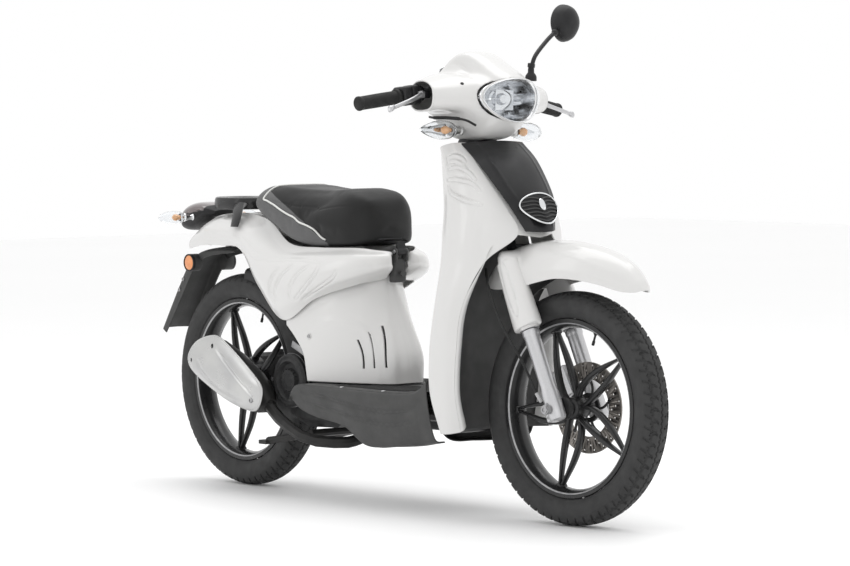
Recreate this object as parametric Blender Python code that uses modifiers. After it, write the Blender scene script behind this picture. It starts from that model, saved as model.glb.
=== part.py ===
"""Moped scooter, built as separate pieces on their real joint axes.

Metres. +X is forward, +Y is the rider's left, +Z is up. Every piece is drawn from the middle
of the wheelbase on the ground, and the whole scooter is then moved forward by half a
wheelbase, so that the finished part's origin is the rear tyre's contact patch.
"""
import bpy
import bmesh
from math import cos, pi, radians, sin, tan
from mathutils import Matrix, Quaternion, Vector

# ---------------------------------------------------------------- driving dimensions
WHEEL_R = 0.270            # tyre radius, 80/80-16
TYRE_HALF = 0.040
RIM_HOLE_R = 0.186
RIM_EDGE_R = 0.2065
WHEELBASE = 1.253
RAKE = radians(26)
STEER_FOOT_X = 0.7125      # where the steering axis meets the ground
STEER_REST = radians(4.2)  # the bars stand turned a little to the left
FORK_HALF = 0.070          # half the distance between the fork legs
YOKE_Z = 0.575             # height of the lower yoke on the steering axis
ENGINE_PIVOT = (-0.085, 0.0, 0.235)
STAND_PIVOT = (-0.270, 0.0, 0.158)
KICK_PIVOT = (-0.310, 0.137, 0.262)
SEAT_PIVOT = (-0.012, 0.0, 0.613)
SKIN = 0.003               # plastic panels
SPOKE_TURN = radians(112)  # each pair of spokes meets at the rim
TYRE_STEPS = 32            # the lowest step is the flat contact patch
STEER_LIFT = 0.0006        # the turned front wheel stands on the edge of its contact patch

HALF_BASE = WHEELBASE / 2
STEER_AXIS = Vector((-sin(RAKE), 0, cos(RAKE)))
STEER_FORE = Vector((cos(RAKE), 0, sin(RAKE)))
STEER_FOOT = Vector((STEER_FOOT_X, 0, 0))


def steer_at(z, y=0.0):
    """The point of the steering axis at height z."""
    return Vector((STEER_FOOT_X - z * tan(RAKE), y, z))


def fork_at(z, y=0.0):
    """The point of a fork leg's axis at height z."""
    return Vector((HALF_BASE - (z - WHEEL_R) * tan(RAKE), y, z))


# ---------------------------------------------------------------- scene and materials
for old in list(bpy.data.objects):
    bpy.data.objects.remove(old, do_unlink=True)

PARTS = bpy.data.collections.new("moped_scooter")
CUTTERS = bpy.data.collections.new("cutters")
for collection in (PARTS, CUTTERS):
    bpy.context.scene.collection.children.link(collection)


def material(name, color, roughness, metallic=0.0):
    mat = bpy.data.materials.new(name)
    mat.use_nodes = True
    shader = mat.node_tree.nodes["Principled BSDF"]
    shader.inputs["Base Color"].default_value = (*color, 1)
    shader.inputs["Roughness"].default_value = roughness
    shader.inputs["Metallic"].default_value = metallic
    return mat


WHITE = material("white_paint", (0.86, 0.86, 0.85), 0.25)
DARK = material("dark_grey_plastic", (0.055, 0.055, 0.058), 0.6)
BLACK = material("black_plastic", (0.02, 0.02, 0.022), 0.45)
VINYL = material("black_vinyl", (0.03, 0.03, 0.03), 0.55)
TYRE = material("tyre_rubber", (0.03, 0.03, 0.03), 0.8)
WHEEL = material("black_wheel_paint", (0.02, 0.02, 0.02), 0.35)
SILVER = material("silver_paint", (0.62, 0.62, 0.63), 0.35, 0.6)
STEEL = material("steel", (0.5, 0.5, 0.52), 0.3, 1.0)
CHROME = material("chrome", (0.8, 0.8, 0.82), 0.08, 1.0)
FRAME_PAINT = material("frame_paint", (0.03, 0.03, 0.03), 0.5)
CLEAR = material("clear_lens", (0.85, 0.87, 0.88), 0.05)


# ---------------------------------------------------------------- groups of moving pieces
GROUPS = {}


def group(name, point, parent=None, turn=None):
    """An empty on a joint's axis, which carries the pieces that move with it."""
    empty = bpy.data.objects.new(name + "_pivot", None)
    CUTTERS.objects.link(empty)
    empty.hide_render = True
    point = Vector(point)
    GROUPS[name] = (empty, point)
    if parent:
        holder, origin = GROUPS[parent]
        empty.parent = holder
        empty.location = point - origin
    if turn:
        empty.rotation_mode = "QUATERNION"
        empty.rotation_quaternion = turn
    return empty


def put(obj, owner, mat=None, cutter=False):
    """Hang an object, drawn in mid-wheelbase coordinates, on its group."""
    empty, origin = GROUPS[owner]
    (CUTTERS if cutter else PARTS).objects.link(obj)
    obj.parent = empty
    obj.matrix_basis = Matrix.Translation(-origin) @ obj.matrix_basis
    if cutter:
        obj.hide_render = True
        obj.display_type = "WIRE"
    if mat:
        obj.data.materials.clear()
        obj.data.materials.append(mat)
    return obj


def boolean(obj, tool, operation):
    mod = obj.modifiers.new(operation.lower(), "BOOLEAN")
    mod.operation = operation
    mod.object = tool
    mod.solver = "EXACT"
    mod.use_self = tool.name.endswith("_spider")    # its spokes cross each other at the hub
    return obj


def fuse(obj, owner, *tools):
    for tool in tools:
        boolean(obj, put(tool, owner, cutter=True), "UNION")
    return obj


def carve(obj, owner, *tools):
    for tool in tools:
        boolean(obj, put(tool, owner, cutter=True), "DIFFERENCE")
    return obj


# ---------------------------------------------------------------- shapes
def finish(name, bm, smooth=40):
    """Turn a bmesh into an object with outward faces and smooth round sides."""
    bmesh.ops.remove_doubles(bm, verts=bm.verts, dist=1e-6)
    mesh = bpy.data.meshes.new(name)
    bm.to_mesh(mesh)
    bm.free()
    mesh.shade_smooth()
    mesh.set_sharp_from_angle(angle=radians(smooth))
    return bpy.data.objects.new(name, mesh)


def loft(name, rings):
    """A closed solid through rings of equal length, capped at both ends."""
    bm = bmesh.new()
    rows = [[bm.verts.new(p) for p in ring] for ring in rings]
    count = len(rows[0])
    for low, high in zip(rows, rows[1:]):
        for i in range(count):
            j = (i + 1) % count
            bm.faces.new((low[i], low[j], high[j], high[i]))
    bm.faces.new(rows[0][::-1])
    bm.faces.new(rows[-1])
    bmesh.ops.recalc_face_normals(bm, faces=bm.faces)
    return finish(name, bm)


def sheet(name, rows, inside, thickness=SKIN, mirror=False, skip=None, loop=False):
    """A thin shell: rows of points are its outer skin, and inside is a point behind it."""
    bm = bmesh.new()
    grid = [[bm.verts.new(p) for p in row] for row in rows]
    width = len(grid[0])
    for r in range(len(grid) - 1):
        for c in range(width if loop else width - 1):
            if skip and skip(r, c):
                continue
            d = (c + 1) % width
            bm.faces.new((grid[r][c], grid[r][d], grid[r + 1][d], grid[r + 1][c]))
    loose = [v for v in bm.verts if not v.link_faces]
    bmesh.ops.delete(bm, geom=loose, context="VERTS")
    bmesh.ops.recalc_face_normals(bm, faces=bm.faces)
    bm.normal_update()
    inside = Vector(inside)
    facing = sum((f.calc_center_median() - inside).dot(f.normal) * f.calc_area() for f in bm.faces)
    if facing < 0:
        bmesh.ops.reverse_faces(bm, faces=bm.faces)
    obj = finish(name, bm)
    if mirror:
        mod = obj.modifiers.new("mirror", "MIRROR")
        mod.use_axis = (False, True, False)
        mod.use_mirror_merge = True
        mod.merge_threshold = 0.0001
    mod = obj.modifiers.new("thickness", "SOLIDIFY")
    mod.thickness = thickness
    mod.offset = -1
    mod.use_even_offset = False
    return obj


def smooth(points, count):
    """Points read at equal steps from a Catmull-Rom curve through the given points."""
    points = [Vector(p) for p in points]
    ends = [2 * points[0] - points[1]] + points + [2 * points[-1] - points[-2]]
    out = []
    for k in range(count):
        t = k / (count - 1) * (len(points) - 1)
        i = min(int(t), len(points) - 2)
        u = t - i
        a, b, c, d = ends[i:i + 4]
        out.append(0.5 * (2 * b + (c - a) * u + (2 * a - 5 * b + 4 * c - d) * u * u
                          + (3 * b - a - 3 * c + d) * u ** 3))
    return out


def weave(net, rows, columns):
    """A finer grid of points from a coarse net, smooth both ways."""
    across = [smooth(line, columns) for line in net]
    down = [smooth([line[c] for line in across], rows) for c in range(columns)]
    return [[down[c][r] for c in range(columns)] for r in range(rows)]


def aim(direction):
    """The rotation that takes +Z to a direction."""
    return Vector((0, 0, 1)).rotation_difference(Vector(direction)).to_matrix().to_4x4()


def rod(name, start, end, radius, sides=16, tip=None):
    """A cylinder, or a cone when tip is given, between two points."""
    start, end = Vector(start), Vector(end)
    bm = bmesh.new()
    bmesh.ops.create_cone(bm, cap_ends=True, segments=sides, radius1=radius,
                          radius2=radius if tip is None else tip, depth=(end - start).length)
    obj = finish(name, bm)
    obj.matrix_basis = Matrix.Translation((start + end) / 2) @ aim(end - start)
    return obj


def block(name, low, high, turn=None, bevel=0.0):
    """A box between two corners, turned about its centre."""
    low, high = Vector(low), Vector(high)
    bm = bmesh.new()
    bmesh.ops.create_cube(bm, size=1)
    bmesh.ops.scale(bm, vec=high - low, verts=bm.verts)
    obj = finish(name, bm)
    obj.matrix_basis = Matrix.Translation((low + high) / 2) @ (turn or Matrix())
    if bevel:
        mod = obj.modifiers.new("bevel", "BEVEL")
        mod.width = bevel
        mod.segments = 2
    return obj


def turned(name, profile, origin, direction, steps, closed=False):
    """A profile of (radius, height) points, outer side top to bottom, turned about an axis."""
    bm = bmesh.new()
    verts = [bm.verts.new((r, 0, h)) for r, h in profile]
    for a, b in zip(verts, verts[1:] + (verts[:1] if closed else [])):
        if a is not b:
            bm.edges.new((a, b))
    mesh = bpy.data.meshes.new(name)
    if not closed:
        bm.edges.ensure_lookup_table()
        extra = [e for e in bm.edges if verts[0] in e.verts and verts[-1] in e.verts]
        bmesh.ops.delete(bm, geom=extra, context="EDGES")
    bm.to_mesh(mesh)
    bm.free()
    obj = bpy.data.objects.new(name, mesh)
    mod = obj.modifiers.new("turn", "SCREW")
    mod.axis = "Z"
    mod.steps = steps
    mod.render_steps = steps
    mod.use_merge_vertices = True
    mod.merge_threshold = 0.00001
    mod.use_smooth_shade = True
    obj.matrix_basis = Matrix.Translation(Vector(origin)) @ aim(direction)
    return obj


def pipe(name, points, radius, resolution=2, ends=True):
    """A tube along points, made a closed mesh so that it can be cut and joined."""
    curve = bpy.data.curves.new(name, "CURVE")
    curve.dimensions = "3D"
    curve.bevel_depth = radius
    curve.bevel_resolution = resolution
    curve.use_fill_caps = ends
    spline = curve.splines.new("POLY")
    spline.points.add(len(points) - 1)
    for slot, p in zip(spline.points, points):
        slot.co = (*p, 1)
    guide = bpy.data.objects.new(name + "_path", curve)
    bpy.context.scene.collection.objects.link(guide)
    evaluated = guide.evaluated_get(bpy.context.evaluated_depsgraph_get())
    mesh = bpy.data.meshes.new_from_object(evaluated)
    bpy.data.objects.remove(guide, do_unlink=True)
    bm = bmesh.new()
    bm.from_mesh(mesh)
    bpy.data.meshes.remove(mesh)
    bmesh.ops.remove_doubles(bm, verts=bm.verts, dist=1e-5)
    bmesh.ops.recalc_face_normals(bm, faces=bm.faces)
    return finish(name, bm)


def prism(name, outline, y0, y1):
    """An outline of (x, z) points, extruded from y0 to y1."""
    return loft(name, [[(x, y, z) for x, z in outline] for y in (y0, y1)])


def oval(centre, across, up, count, start=0.0, squash=1.0):
    """A ring of points round a centre; squash above 1 squares it off."""
    ring = []
    for k in range(count):
        a = start + 2 * pi * k / count
        c, s = cos(a), sin(a)
        c = abs(c) ** (1 / squash) * (1 if c > 0 else -1)
        s = abs(s) ** (1 / squash) * (1 if s > 0 else -1)
        ring.append(Vector(centre) + c * Vector(across) + s * Vector(up))
    return ring


def flip(net):
    """The same net on the other side of the scooter."""
    return [[(p[0], -p[1], p[2]) for p in line] for line in net]


def sides(function):
    """Build a piece for the left (+1) and for the right (-1)."""
    for side, word in ((1, "left"), (-1, "right")):
        function(side, word)


# ---------------------------------------------------------------- wheels
def tyre(name, centre, owner):
    """A hollow tyre whose lowest step is a flat patch square to the ground."""
    apothem = cos(pi / TYRE_STEPS)
    outer = [(0.2075, 0.027), (0.236, TYRE_HALF), (0.257, 0.035), (WHEEL_R, 0.018)]
    inner = [(0.2075, 0.022), (0.236, 0.033), (0.260, 0.016)]
    loop = outer + [(r, -y) for r, y in outer[::-1]] + [(r, -y) for r, y in inner] + inner[::-1]
    half_step = Matrix.Rotation(-pi / 2 + pi / TYRE_STEPS, 4, "Z")
    obj = turned(name, [(r / apothem, y) for r, y in loop], centre, (0, -1, 0), TYRE_STEPS, True)
    obj.matrix_basis = Matrix.Translation(Vector(centre)) @ Matrix.Rotation(pi / 2, 4, "X") @ half_step
    return put(obj, owner, TYRE)


def rim(name, centre, owner, hub_r, hub_half, mat):
    """A cast wheel: rim, hub and five pairs of leaf-shaped spokes, with a bore for its axle."""
    centre = Vector(centre)
    loop = [(RIM_EDGE_R, 0.028), (RIM_EDGE_R, 0.024), (0.198, 0.014), (0.198, -0.014),
            (RIM_EDGE_R, -0.024), (RIM_EDGE_R, -0.028), (0.1925, -0.028), (RIM_HOLE_R, -0.012),
            (RIM_HOLE_R, 0.012), (0.1925, 0.028)]
    obj = turned(name, loop, centre, (0, -1, 0), TYRE_STEPS, True)
    hub = rod(name + "_hub", centre - Vector((0, hub_half, 0)), centre + Vector((0, hub_half, 0)),
              hub_r, 20)
    bm = bmesh.new()
    spokes = []
    for k in range(10):
        lean = 1 if k % 2 else -1
        base = 2 * pi * (k // 2) / 5 + SPOKE_TURN
        rings = []
        for along, spread, wide in ((hub_r - 0.008, 24, 0.009), (hub_r * 0.4 + 0.075, 12, 0.0100),
                                    (0.150, 4.5, 0.0075), (RIM_HOLE_R + 0.006, 0.9, 0.0070)):
            a = base + lean * radians(spread)
            out = Vector((cos(a), 0, sin(a)))
            side = Vector((-sin(a), 0, cos(a)))
            rings.append([centre + out * along + side * (u * wide) + Vector((0, v * 0.011, 0))
                          for u, v in ((-1, -1), (1, -1), (1, 1), (-1, 1))])
        spokes.append(loft(f"{name}_spoke_{k}", rings))
    for spoke in spokes:
        bm.from_mesh(spoke.data)
        bpy.data.objects.remove(spoke)
    spider = finish(name + "_spider", bm)
    put(obj, owner, mat)
    fuse(obj, owner, spider, hub)
    bore = rod(name + "_bore", centre - Vector((0, 0.1, 0)), centre + Vector((0, 0.1, 0)), 0.0065)
    return carve(obj, owner, bore)


def front_wheel():
    axle = fork_at(WHEEL_R)
    rim("front_rim", axle, "front_wheel", 0.033, 0.037, WHEEL)
    tyre("front_tyre", axle, "front_wheel")
    disc = turned("brake_disc", [(0.106, 0.0413), (0.106, 0.0373), (0.020, 0.0373),
                                 (0.020, 0.0413)], axle, (0, 1, 0), 36, True)
    put(disc, "front_wheel", STEEL)


def rear_wheel():
    axle = (-HALF_BASE, 0, WHEEL_R)
    rim("rear_rim", axle, "rear_wheel", 0.062, 0.034, WHEEL)
    tyre("rear_tyre", axle, "rear_wheel")


# ---------------------------------------------------------------- fork and front fender
def yoke_plate(name, z, grow, height):
    """The triangle that joins the steering tube to both fork legs."""
    centres = [(steer_at(z), 0.026), (steer_at(z) + STEER_FORE * 0.0415, 0.022)]
    middle, fork = centres[0][0], centres[1][0]
    outline = []
    for k in range(5):
        a = radians(180 - 60 + 30 * k)
        outline.append(middle + (STEER_FORE * cos(a) + Vector((0, sin(a), 0))) * (0.026 + grow))
    for side in (-1, 1):
        for k in range(5):
            a = radians(side * 45 + 45 * (k - 2) * 1)
            point = fork + Vector((0, side * FORK_HALF, 0))
            outline.append(point + (STEER_FORE * cos(a) + Vector((0, sin(a), 0))) * (0.022 + grow))
    rings = [[p + STEER_AXIS * h for p in outline] for h in (-height, height)]
    return loft(name, rings)


def steering_stem():
    stem = rod("steering_stem", steer_at(YOKE_Z), steer_at(0.932), 0.0125)
    put(stem, "steering", STEEL)
    tubes = [rod(f"stanchion_{s}", fork_at(0.385, s * FORK_HALF), fork_at(0.592, s * FORK_HALF), 0.014, 12)
             for s in (-1, 1)]
    return fuse(stem, "steering", yoke_plate("yoke", YOKE_Z, 0.0, 0.010), *tubes)


def fender_rows(columns):
    """Half sections of the front fender from its tip back to behind the fork."""
    stations = ((0.850, 0.552, 0.547, 0.010), (0.834, 0.574, 0.542, 0.026), (0.797, 0.606, 0.545, 0.041),
                (0.740, 0.631, 0.558, 0.056), (0.680, 0.647, 0.567, 0.066), (0.614, 0.655, 0.568, 0.071),
                (0.550, 0.655, 0.556, 0.072), (0.500, 0.650, 0.544, 0.070), (0.440, 0.637, 0.538, 0.060),
                (0.392, 0.612, 0.536, 0.047), (0.362, 0.580, 0.540, 0.034))
    rows = []
    for x, top, low, half in stations:
        tall = top - low
        rows.append(smooth([(x, 0, top), (x, half * 0.50, top - 0.09 * tall),
                            (x, half * 0.86, top - 0.36 * tall), (x, half, top - 0.72 * tall),
                            (x, half * 0.99, low)], columns))
    return rows


def front_fender():
    obj = sheet("front_fender", fender_rows(5), (0.60, 0, 0.50), mirror=True)
    put(obj, "steering", WHITE)
    covers, bores = [], []
    for s in (-1, 1):
        rings = []
        for z, wide, deep in ((0.626, 0.007, 0.007), (0.618, 0.021, 0.0185), (0.590, 0.0302, 0.0249),
                              (0.520, 0.0360, 0.0270), (0.460, 0.0385, 0.0280), (0.454, 0.037, 0.0270)):
            rings.append(oval(fork_at(z, s * (FORK_HALF + 0.0025)), STEER_FORE * wide, (0, deep, 0), 12))
        covers.append(loft(f"fork_cover_{s}", rings))
        bores.append(rod(f"fork_cover_bore_{s}", fork_at(0.40, s * FORK_HALF),
                         fork_at(0.600, s * FORK_HALF), 0.0215))
    stem_room = rod("stem_room", steer_at(0.590), steer_at(0.700), 0.029)
    fuse(obj, "steering", *covers)
    return carve(obj, "steering", *bores, yoke_plate("yoke_room", YOKE_Z, 0.0022, 0.0125), stem_room)


def inner_mudguard():
    rows = []
    for k in range(8):
        a = radians(74 + 8 * k)
        out = Vector((cos(a), 0, sin(a)))
        rows.append([fork_at(WHEEL_R) + out * (0.334 + lift) + Vector((0, y, 0))
                     for y, lift in ((0.0440, -0.018), (0.0425, -0.002), (0.024, 0.001), (0, 0.002))])
    obj = sheet("inner_mudguard", rows, fork_at(WHEEL_R), 0.0025, mirror=True)
    return put(obj, "steering", BLACK)


def fork_sliders():
    def one(side, word):
        foot = fork_at(0.246, side * FORK_HALF)
        tall = (fork_at(0.446) - fork_at(0.246)).length
        profile = [(0, 0.060), (0.0145, 0.060), (0.0145, tall), (0.0205, tall), (0.0205, tall - 0.012),
                   (0.0185, tall - 0.016), (0.0185, 0.050), (0.0205, 0.035), (0.0200, 0.004), (0.012, 0),
                   (0, 0)]
        obj = turned("fork_slider_" + word, profile, foot, STEER_AXIS, 16)
        put(obj, "sliders", SILVER)
        hole = rod("axle_hole_" + word, fork_at(WHEEL_R, side * 0.04), fork_at(WHEEL_R, side * 0.1), 0.0065)
        carve(obj, "sliders", hole)

    sides(one)


def front_axle():
    axle = rod("front_axle", fork_at(WHEEL_R, -0.1), fork_at(WHEEL_R, 0.1), 0.0060)
    put(axle, "sliders", STEEL)
    heads = [rod(f"axle_nut_{s}", fork_at(WHEEL_R, s * 0.0925), fork_at(WHEEL_R, s * 0.104), 0.011, 6)
             for s in (-1, 1)]
    return fuse(axle, "sliders", *heads)


def brake_caliper():
    x, z = 0.548, 0.322
    obj = block("brake_caliper", (x - 0.026, 0.0260, z - 0.038), (x + 0.026, 0.0640, z + 0.038),
                Matrix.Rotation(radians(-32), 4, "Y"), 0.006)
    put(obj, "sliders", SILVER)
    slot = rod("caliper_slot", fork_at(WHEEL_R, 0.0358), fork_at(WHEEL_R, 0.0428), 0.1085, 36)
    return carve(obj, "sliders", slot)


# ---------------------------------------------------------------- handlebar and its pieces
def bar_point(y):
    """The straight end of the handlebar at a distance y to the side."""
    return Vector((0.2355 - 0.0465 * abs(y), y, 1.0130 - 0.155 * abs(y)))


def bar_out(side):
    return (bar_point(0.3 * side) - bar_point(0.2 * side)).normalized()


BAR_R = 0.0110


def handlebar():
    points = [bar_point(-0.322), bar_point(-0.105), (0.2445, -0.045, 0.966), (0.2445, 0.045, 0.966),
              bar_point(0.105), bar_point(0.322)]
    obj = put(pipe("handlebar", points, BAR_R), "steering", STEEL)
    clamp = rod("bar_clamp", steer_at(0.9328), steer_at(0.9328) + STEER_AXIS * 0.045, 0.019)
    return fuse(obj, "steering", clamp)


def grip(name, side, owner):
    """A rubber sleeve with a flange, closed at its outer end."""
    start, out = bar_point(0.2075 * side), bar_out(side)
    long = (bar_point(0.329 * side) - start).length
    bore = BAR_R + 0.0005
    profile = [(0, long), (0.0150, long), (0.0168, long - 0.004), (0.0162, 0.008), (0.0195, 0.007),
               (0.0195, 0), (bore, 0), (bore, long - 0.005), (0, long - 0.005)]
    return put(turned(name, profile, start, out, 16), owner, BLACK)


def switchgear():
    def one(side, word):
        middle = bar_point(0.178 * side)
        turn = aim(bar_out(side))
        obj = block("switchgear_" + word, (-0.021, -0.021, -0.026), (0.021, 0.021, 0.026), None, 0.006)
        obj.matrix_basis = Matrix.Translation(middle) @ turn
        put(obj, "steering", BLACK)
        bore = rod("switch_bore_" + word, bar_point(0.12 * side), bar_point(0.22 * side), BAR_R + 0.0004)
        press = button_place(side)
        pocket = rod("button_pocket_" + word, press - BUTTON_IN * 0.004, press + BUTTON_IN * 0.009, 0.0062)
        carve(obj, "steering", bore, pocket)

    sides(one)


BUTTON_IN = Vector((1, 0, 0))      # buttons are pushed forward, away from the rider


def button_place(side):
    return bar_point(0.178 * side) + Vector((-0.0213, 0, 0.0085))


def button(name, side, owner):
    press = button_place(side)
    obj = rod(name, press - BUTTON_IN * 0.0030, press + BUTTON_IN * 0.0040, 0.0055, 12)
    return put(obj, owner, BLACK)


def lever_pivot(side):
    return bar_point(0.165 * side) + Vector((0.0335, 0, 0.0))


def brake_lever(side, word):
    """A cast lever that swings back towards the grip."""
    root = lever_pivot(side)
    path = [root, root + Vector((0.016, side * 0.020, -0.003)), Vector((0.290, side * 0.215, 0.972)),
            Vector((0.296, side * 0.262, 0.960)), Vector((0.300, side * 0.302, 0.950))]
    rings = []
    line = smooth(path, 7)
    for k, p in enumerate(line):
        ahead = line[min(k + 1, 6)] - line[max(k - 1, 0)]
        across = ahead.cross(Vector((0, 0, 1))).normalized()
        wide = (0.0075, 0.0065, 0.0058, 0.0055, 0.0052, 0.0050, 0.0075)[k]
        rings.append(oval(p, across * wide * 0.8, (0, 0, wide), 8))
    obj = loft("brake_lever_" + word, rings)
    obj.data.transform(Matrix.Translation(-root))
    obj.matrix_basis = Matrix.Translation(root)
    return put(obj, "lever_" + word, SILVER)


def cowl_rows(columns):
    """Half of the headset shell, in rings from the middle out to the bar's opening."""
    middle = [(0.300, 0.884), (0.352, 0.892), (0.390, 0.912), (0.417, 0.945), (0.426, 0.985), (0.410, 1.028),
              (0.350, 1.066), (0.285, 1.091), (0.218, 1.086), (0.192, 1.062), (0.196, 1.010), (0.208, 0.950),
              (0.226, 0.898), (0.256, 0.884)]
    near = [(0.300, 0.885), (0.346, 0.893), (0.382, 0.914), (0.409, 0.946), (0.418, 0.985), (0.401, 1.028),
            (0.344, 1.062), (0.283, 1.083), (0.220, 1.078), (0.193, 1.055), (0.195, 1.006), (0.207, 0.950),
            (0.226, 0.900), (0.256, 0.886)]
    mid = [(0.300, 0.901), (0.335, 0.908), (0.364, 0.926), (0.390, 0.952), (0.399, 0.985), (0.382, 1.018),
           (0.333, 1.038), (0.279, 1.048), (0.225, 1.045), (0.198, 1.034), (0.195, 0.998), (0.204, 0.953),
           (0.225, 0.915), (0.258, 0.902)]
    flare = [(0.298, 0.925), (0.330, 0.930), (0.357, 0.940), (0.376, 0.958), (0.384, 0.986), (0.368, 1.018),
             (0.328, 1.035), (0.277, 1.043), (0.226, 1.040), (0.199, 1.031), (0.194, 0.996), (0.202, 0.957),
             (0.224, 0.932), (0.259, 0.925)]
    outer = [(0.296, 0.943), (0.325, 0.946), (0.345, 0.953), (0.358, 0.967), (0.360, 0.988), (0.347, 1.012),
             (0.315, 1.030), (0.272, 1.037), (0.230, 1.034), (0.203, 1.018), (0.193, 0.992), (0.200, 0.965),
             (0.224, 0.949), (0.260, 0.943)]
    end = [(0.284, 0.950), (0.305, 0.953), (0.319, 0.960), (0.325, 0.972), (0.326, 0.988), (0.319, 1.004),
           (0.297, 1.016), (0.265, 1.021), (0.234, 1.018), (0.210, 1.005), (0.199, 0.985), (0.205, 0.966),
           (0.226, 0.953), (0.257, 0.949)]
    rows = [[(x, y, z) for x, z in ring]
            for y, ring in ((0, middle), (0.044, near), (0.068, mid), (0.084, flare), (0.112, outer))]
    # the opening is cut on a slant: its front edge reaches further out than its back edge
    rows.append([(x, 0.145 + (x - 0.20) * 0.33, z) for x, z in end])
    return [smooth(row + row[:1], columns + 1)[:-1] for row in rows]


def almond(scale, x, count=20, lift=0.0):
    """The headlight's outline, pointed at both sides, on a curved front face."""
    ring = []
    for k in range(count):
        a = 2 * pi * k / count
        y = 0.092 * cos(a)
        tall = 0.047 if sin(a) > 0 else 0.053
        z = 0.981 + tall * sin(a) * (1 - 0.22 * cos(a) ** 2) + lift
        ring.append(Vector((x - 2.9 * (y * scale) ** 2, y * scale, 0.981 + (z - 0.981) * scale)))
    return ring


def headset_cowl():
    obj = sheet("headset_cowl", cowl_rows(14), (0.28, 0, 0.98), mirror=True, loop=True)
    put(obj, "steering", WHITE)
    lamp = loft("headlight_opening", [almond(1.03, 0.506), almond(1.03, 0.378)])
    neck = rod("neck_opening", steer_at(0.85), steer_at(0.905), 0.034)
    socket = rod("mirror_socket", MIRROR_FOOT - Vector((0, 0, 0.040)), MIRROR_FOOT, 0.0075)
    dash = block("dial_opening", (0.170, -0.050, 1.028), (0.220, 0.050, 1.060))
    return carve(obj, "steering", lamp, neck, socket, dash)


def headlight():
    bowl = [almond(s, x) for s, x in ((0.10, 0.306), (0.55, 0.318), (0.94, 0.371), (0.985, 0.404),
                                      (0.93, 0.406), (0.86, 0.374), (0.50, 0.324), (0.08, 0.312))]
    put(loft("headlight_reflector", bowl), "steering", CHROME)
    glass = [almond(s, x) for s, x in ((0.20, 0.4310), (0.70, 0.4290), (0.985, 0.4120), (0.990, 0.4170),
                                       (0.80, 0.4320), (0.45, 0.4350), (0.12, 0.4355))]
    put(loft("headlight_lens", glass), "steering", CLEAR)


def instrument_dial():
    rows = [oval((x, 0, z), (0, wide, 0), (0.004, 0, tall), 16, squash=1.6)
            for x, z, wide, tall in ((0.206, 1.044, 0.047, 0.0135), (0.198, 1.045, 0.047, 0.0135),
                                     (0.192, 1.046, 0.040, 0.010))]
    return put(loft("instrument_dial", rows), "steering", BLACK)


def front_indicators():
    def one(side, word):
        rings = []
        for y, radius, x in ((0.0790, 0.008, 0.300), (0.098, 0.009, 0.302), (0.106, 0.016, 0.304),
                             (0.124, 0.0245, 0.307), (0.145, 0.0265, 0.306), (0.168, 0.021, 0.302),
                             (0.186, 0.011, 0.296), (0.195, 0.002, 0.291)):
            rings.append(oval((x, side * y, 0.9060), (radius * 1.1, 0, 0), (0, 0, radius * 0.86), 12))
        put(loft("front_indicator_" + word, rings), "steering", CLEAR)

    sides(one)


MIRROR_FOOT = Vector((0.305, 0.150, 1.0300))
MIRROR_BALL = Vector((0.281, 0.252, 1.148))


def mirror():
    path = smooth([MIRROR_FOOT + Vector((0, 0, 0.004)), (0.304, 0.152, 1.056), (0.300, 0.168, 1.088),
                   (0.290, 0.213, 1.124), MIRROR_BALL - Vector((0, 0.004, 0.002))], 9)
    stem = pipe("mirror_stem", path, 0.0055)
    put(stem, "mirror_stem", BLACK)
    boot = rod("mirror_boot", MIRROR_FOOT - Vector((0, 0, 0.002)), MIRROR_FOOT + Vector((0, 0, 0.020)),
               0.014, 16, 0.008)
    peg = rod("mirror_peg", MIRROR_FOOT - Vector((0, 0, 0.022)), MIRROR_FOOT + Vector((0, 0, 0.002)), 0.0070)
    fuse(stem, "mirror_stem", boot, peg)
    middle = Vector((0.272, 0.296, 1.172))
    rings = [oval(middle + Vector((x, 0, 0)), (0, wide, 0), (0, 0, tall), 16)
             for x, wide, tall in ((0.026, 0.012, 0.014), (0.018, 0.028, 0.032), (0.006, 0.038, 0.043),
                                   (-0.008, 0.041, 0.046), (-0.011, 0.038, 0.043))]
    put(loft("mirror_head", rings), "mirror_head", BLACK)


def cables():
    """The brake hose and the speedometer cable, whole along their real routes."""
    hose = [(0.262, -0.138, 0.936), (0.292, -0.150, 0.934), (0.330, -0.140, 0.934), (0.352, -0.110, 0.930),
            (0.358, -0.080, 0.918)]
    put(pipe("brake_hose", smooth(hose, 12), 0.0028), "steering", BLACK)
    drive = fork_at(0.305, -FORK_HALF) + Vector((-0.030, -0.016, 0))
    run = [drive, drive + Vector((-0.035, -0.012, 0.070)), (0.486, -0.110, 0.460), (0.437, -0.105, 0.540),
           (0.405, -0.085, 0.585)]
    put(pipe("speedometer_cable", smooth(run, 16), 0.0030), "steering", BLACK)


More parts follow.
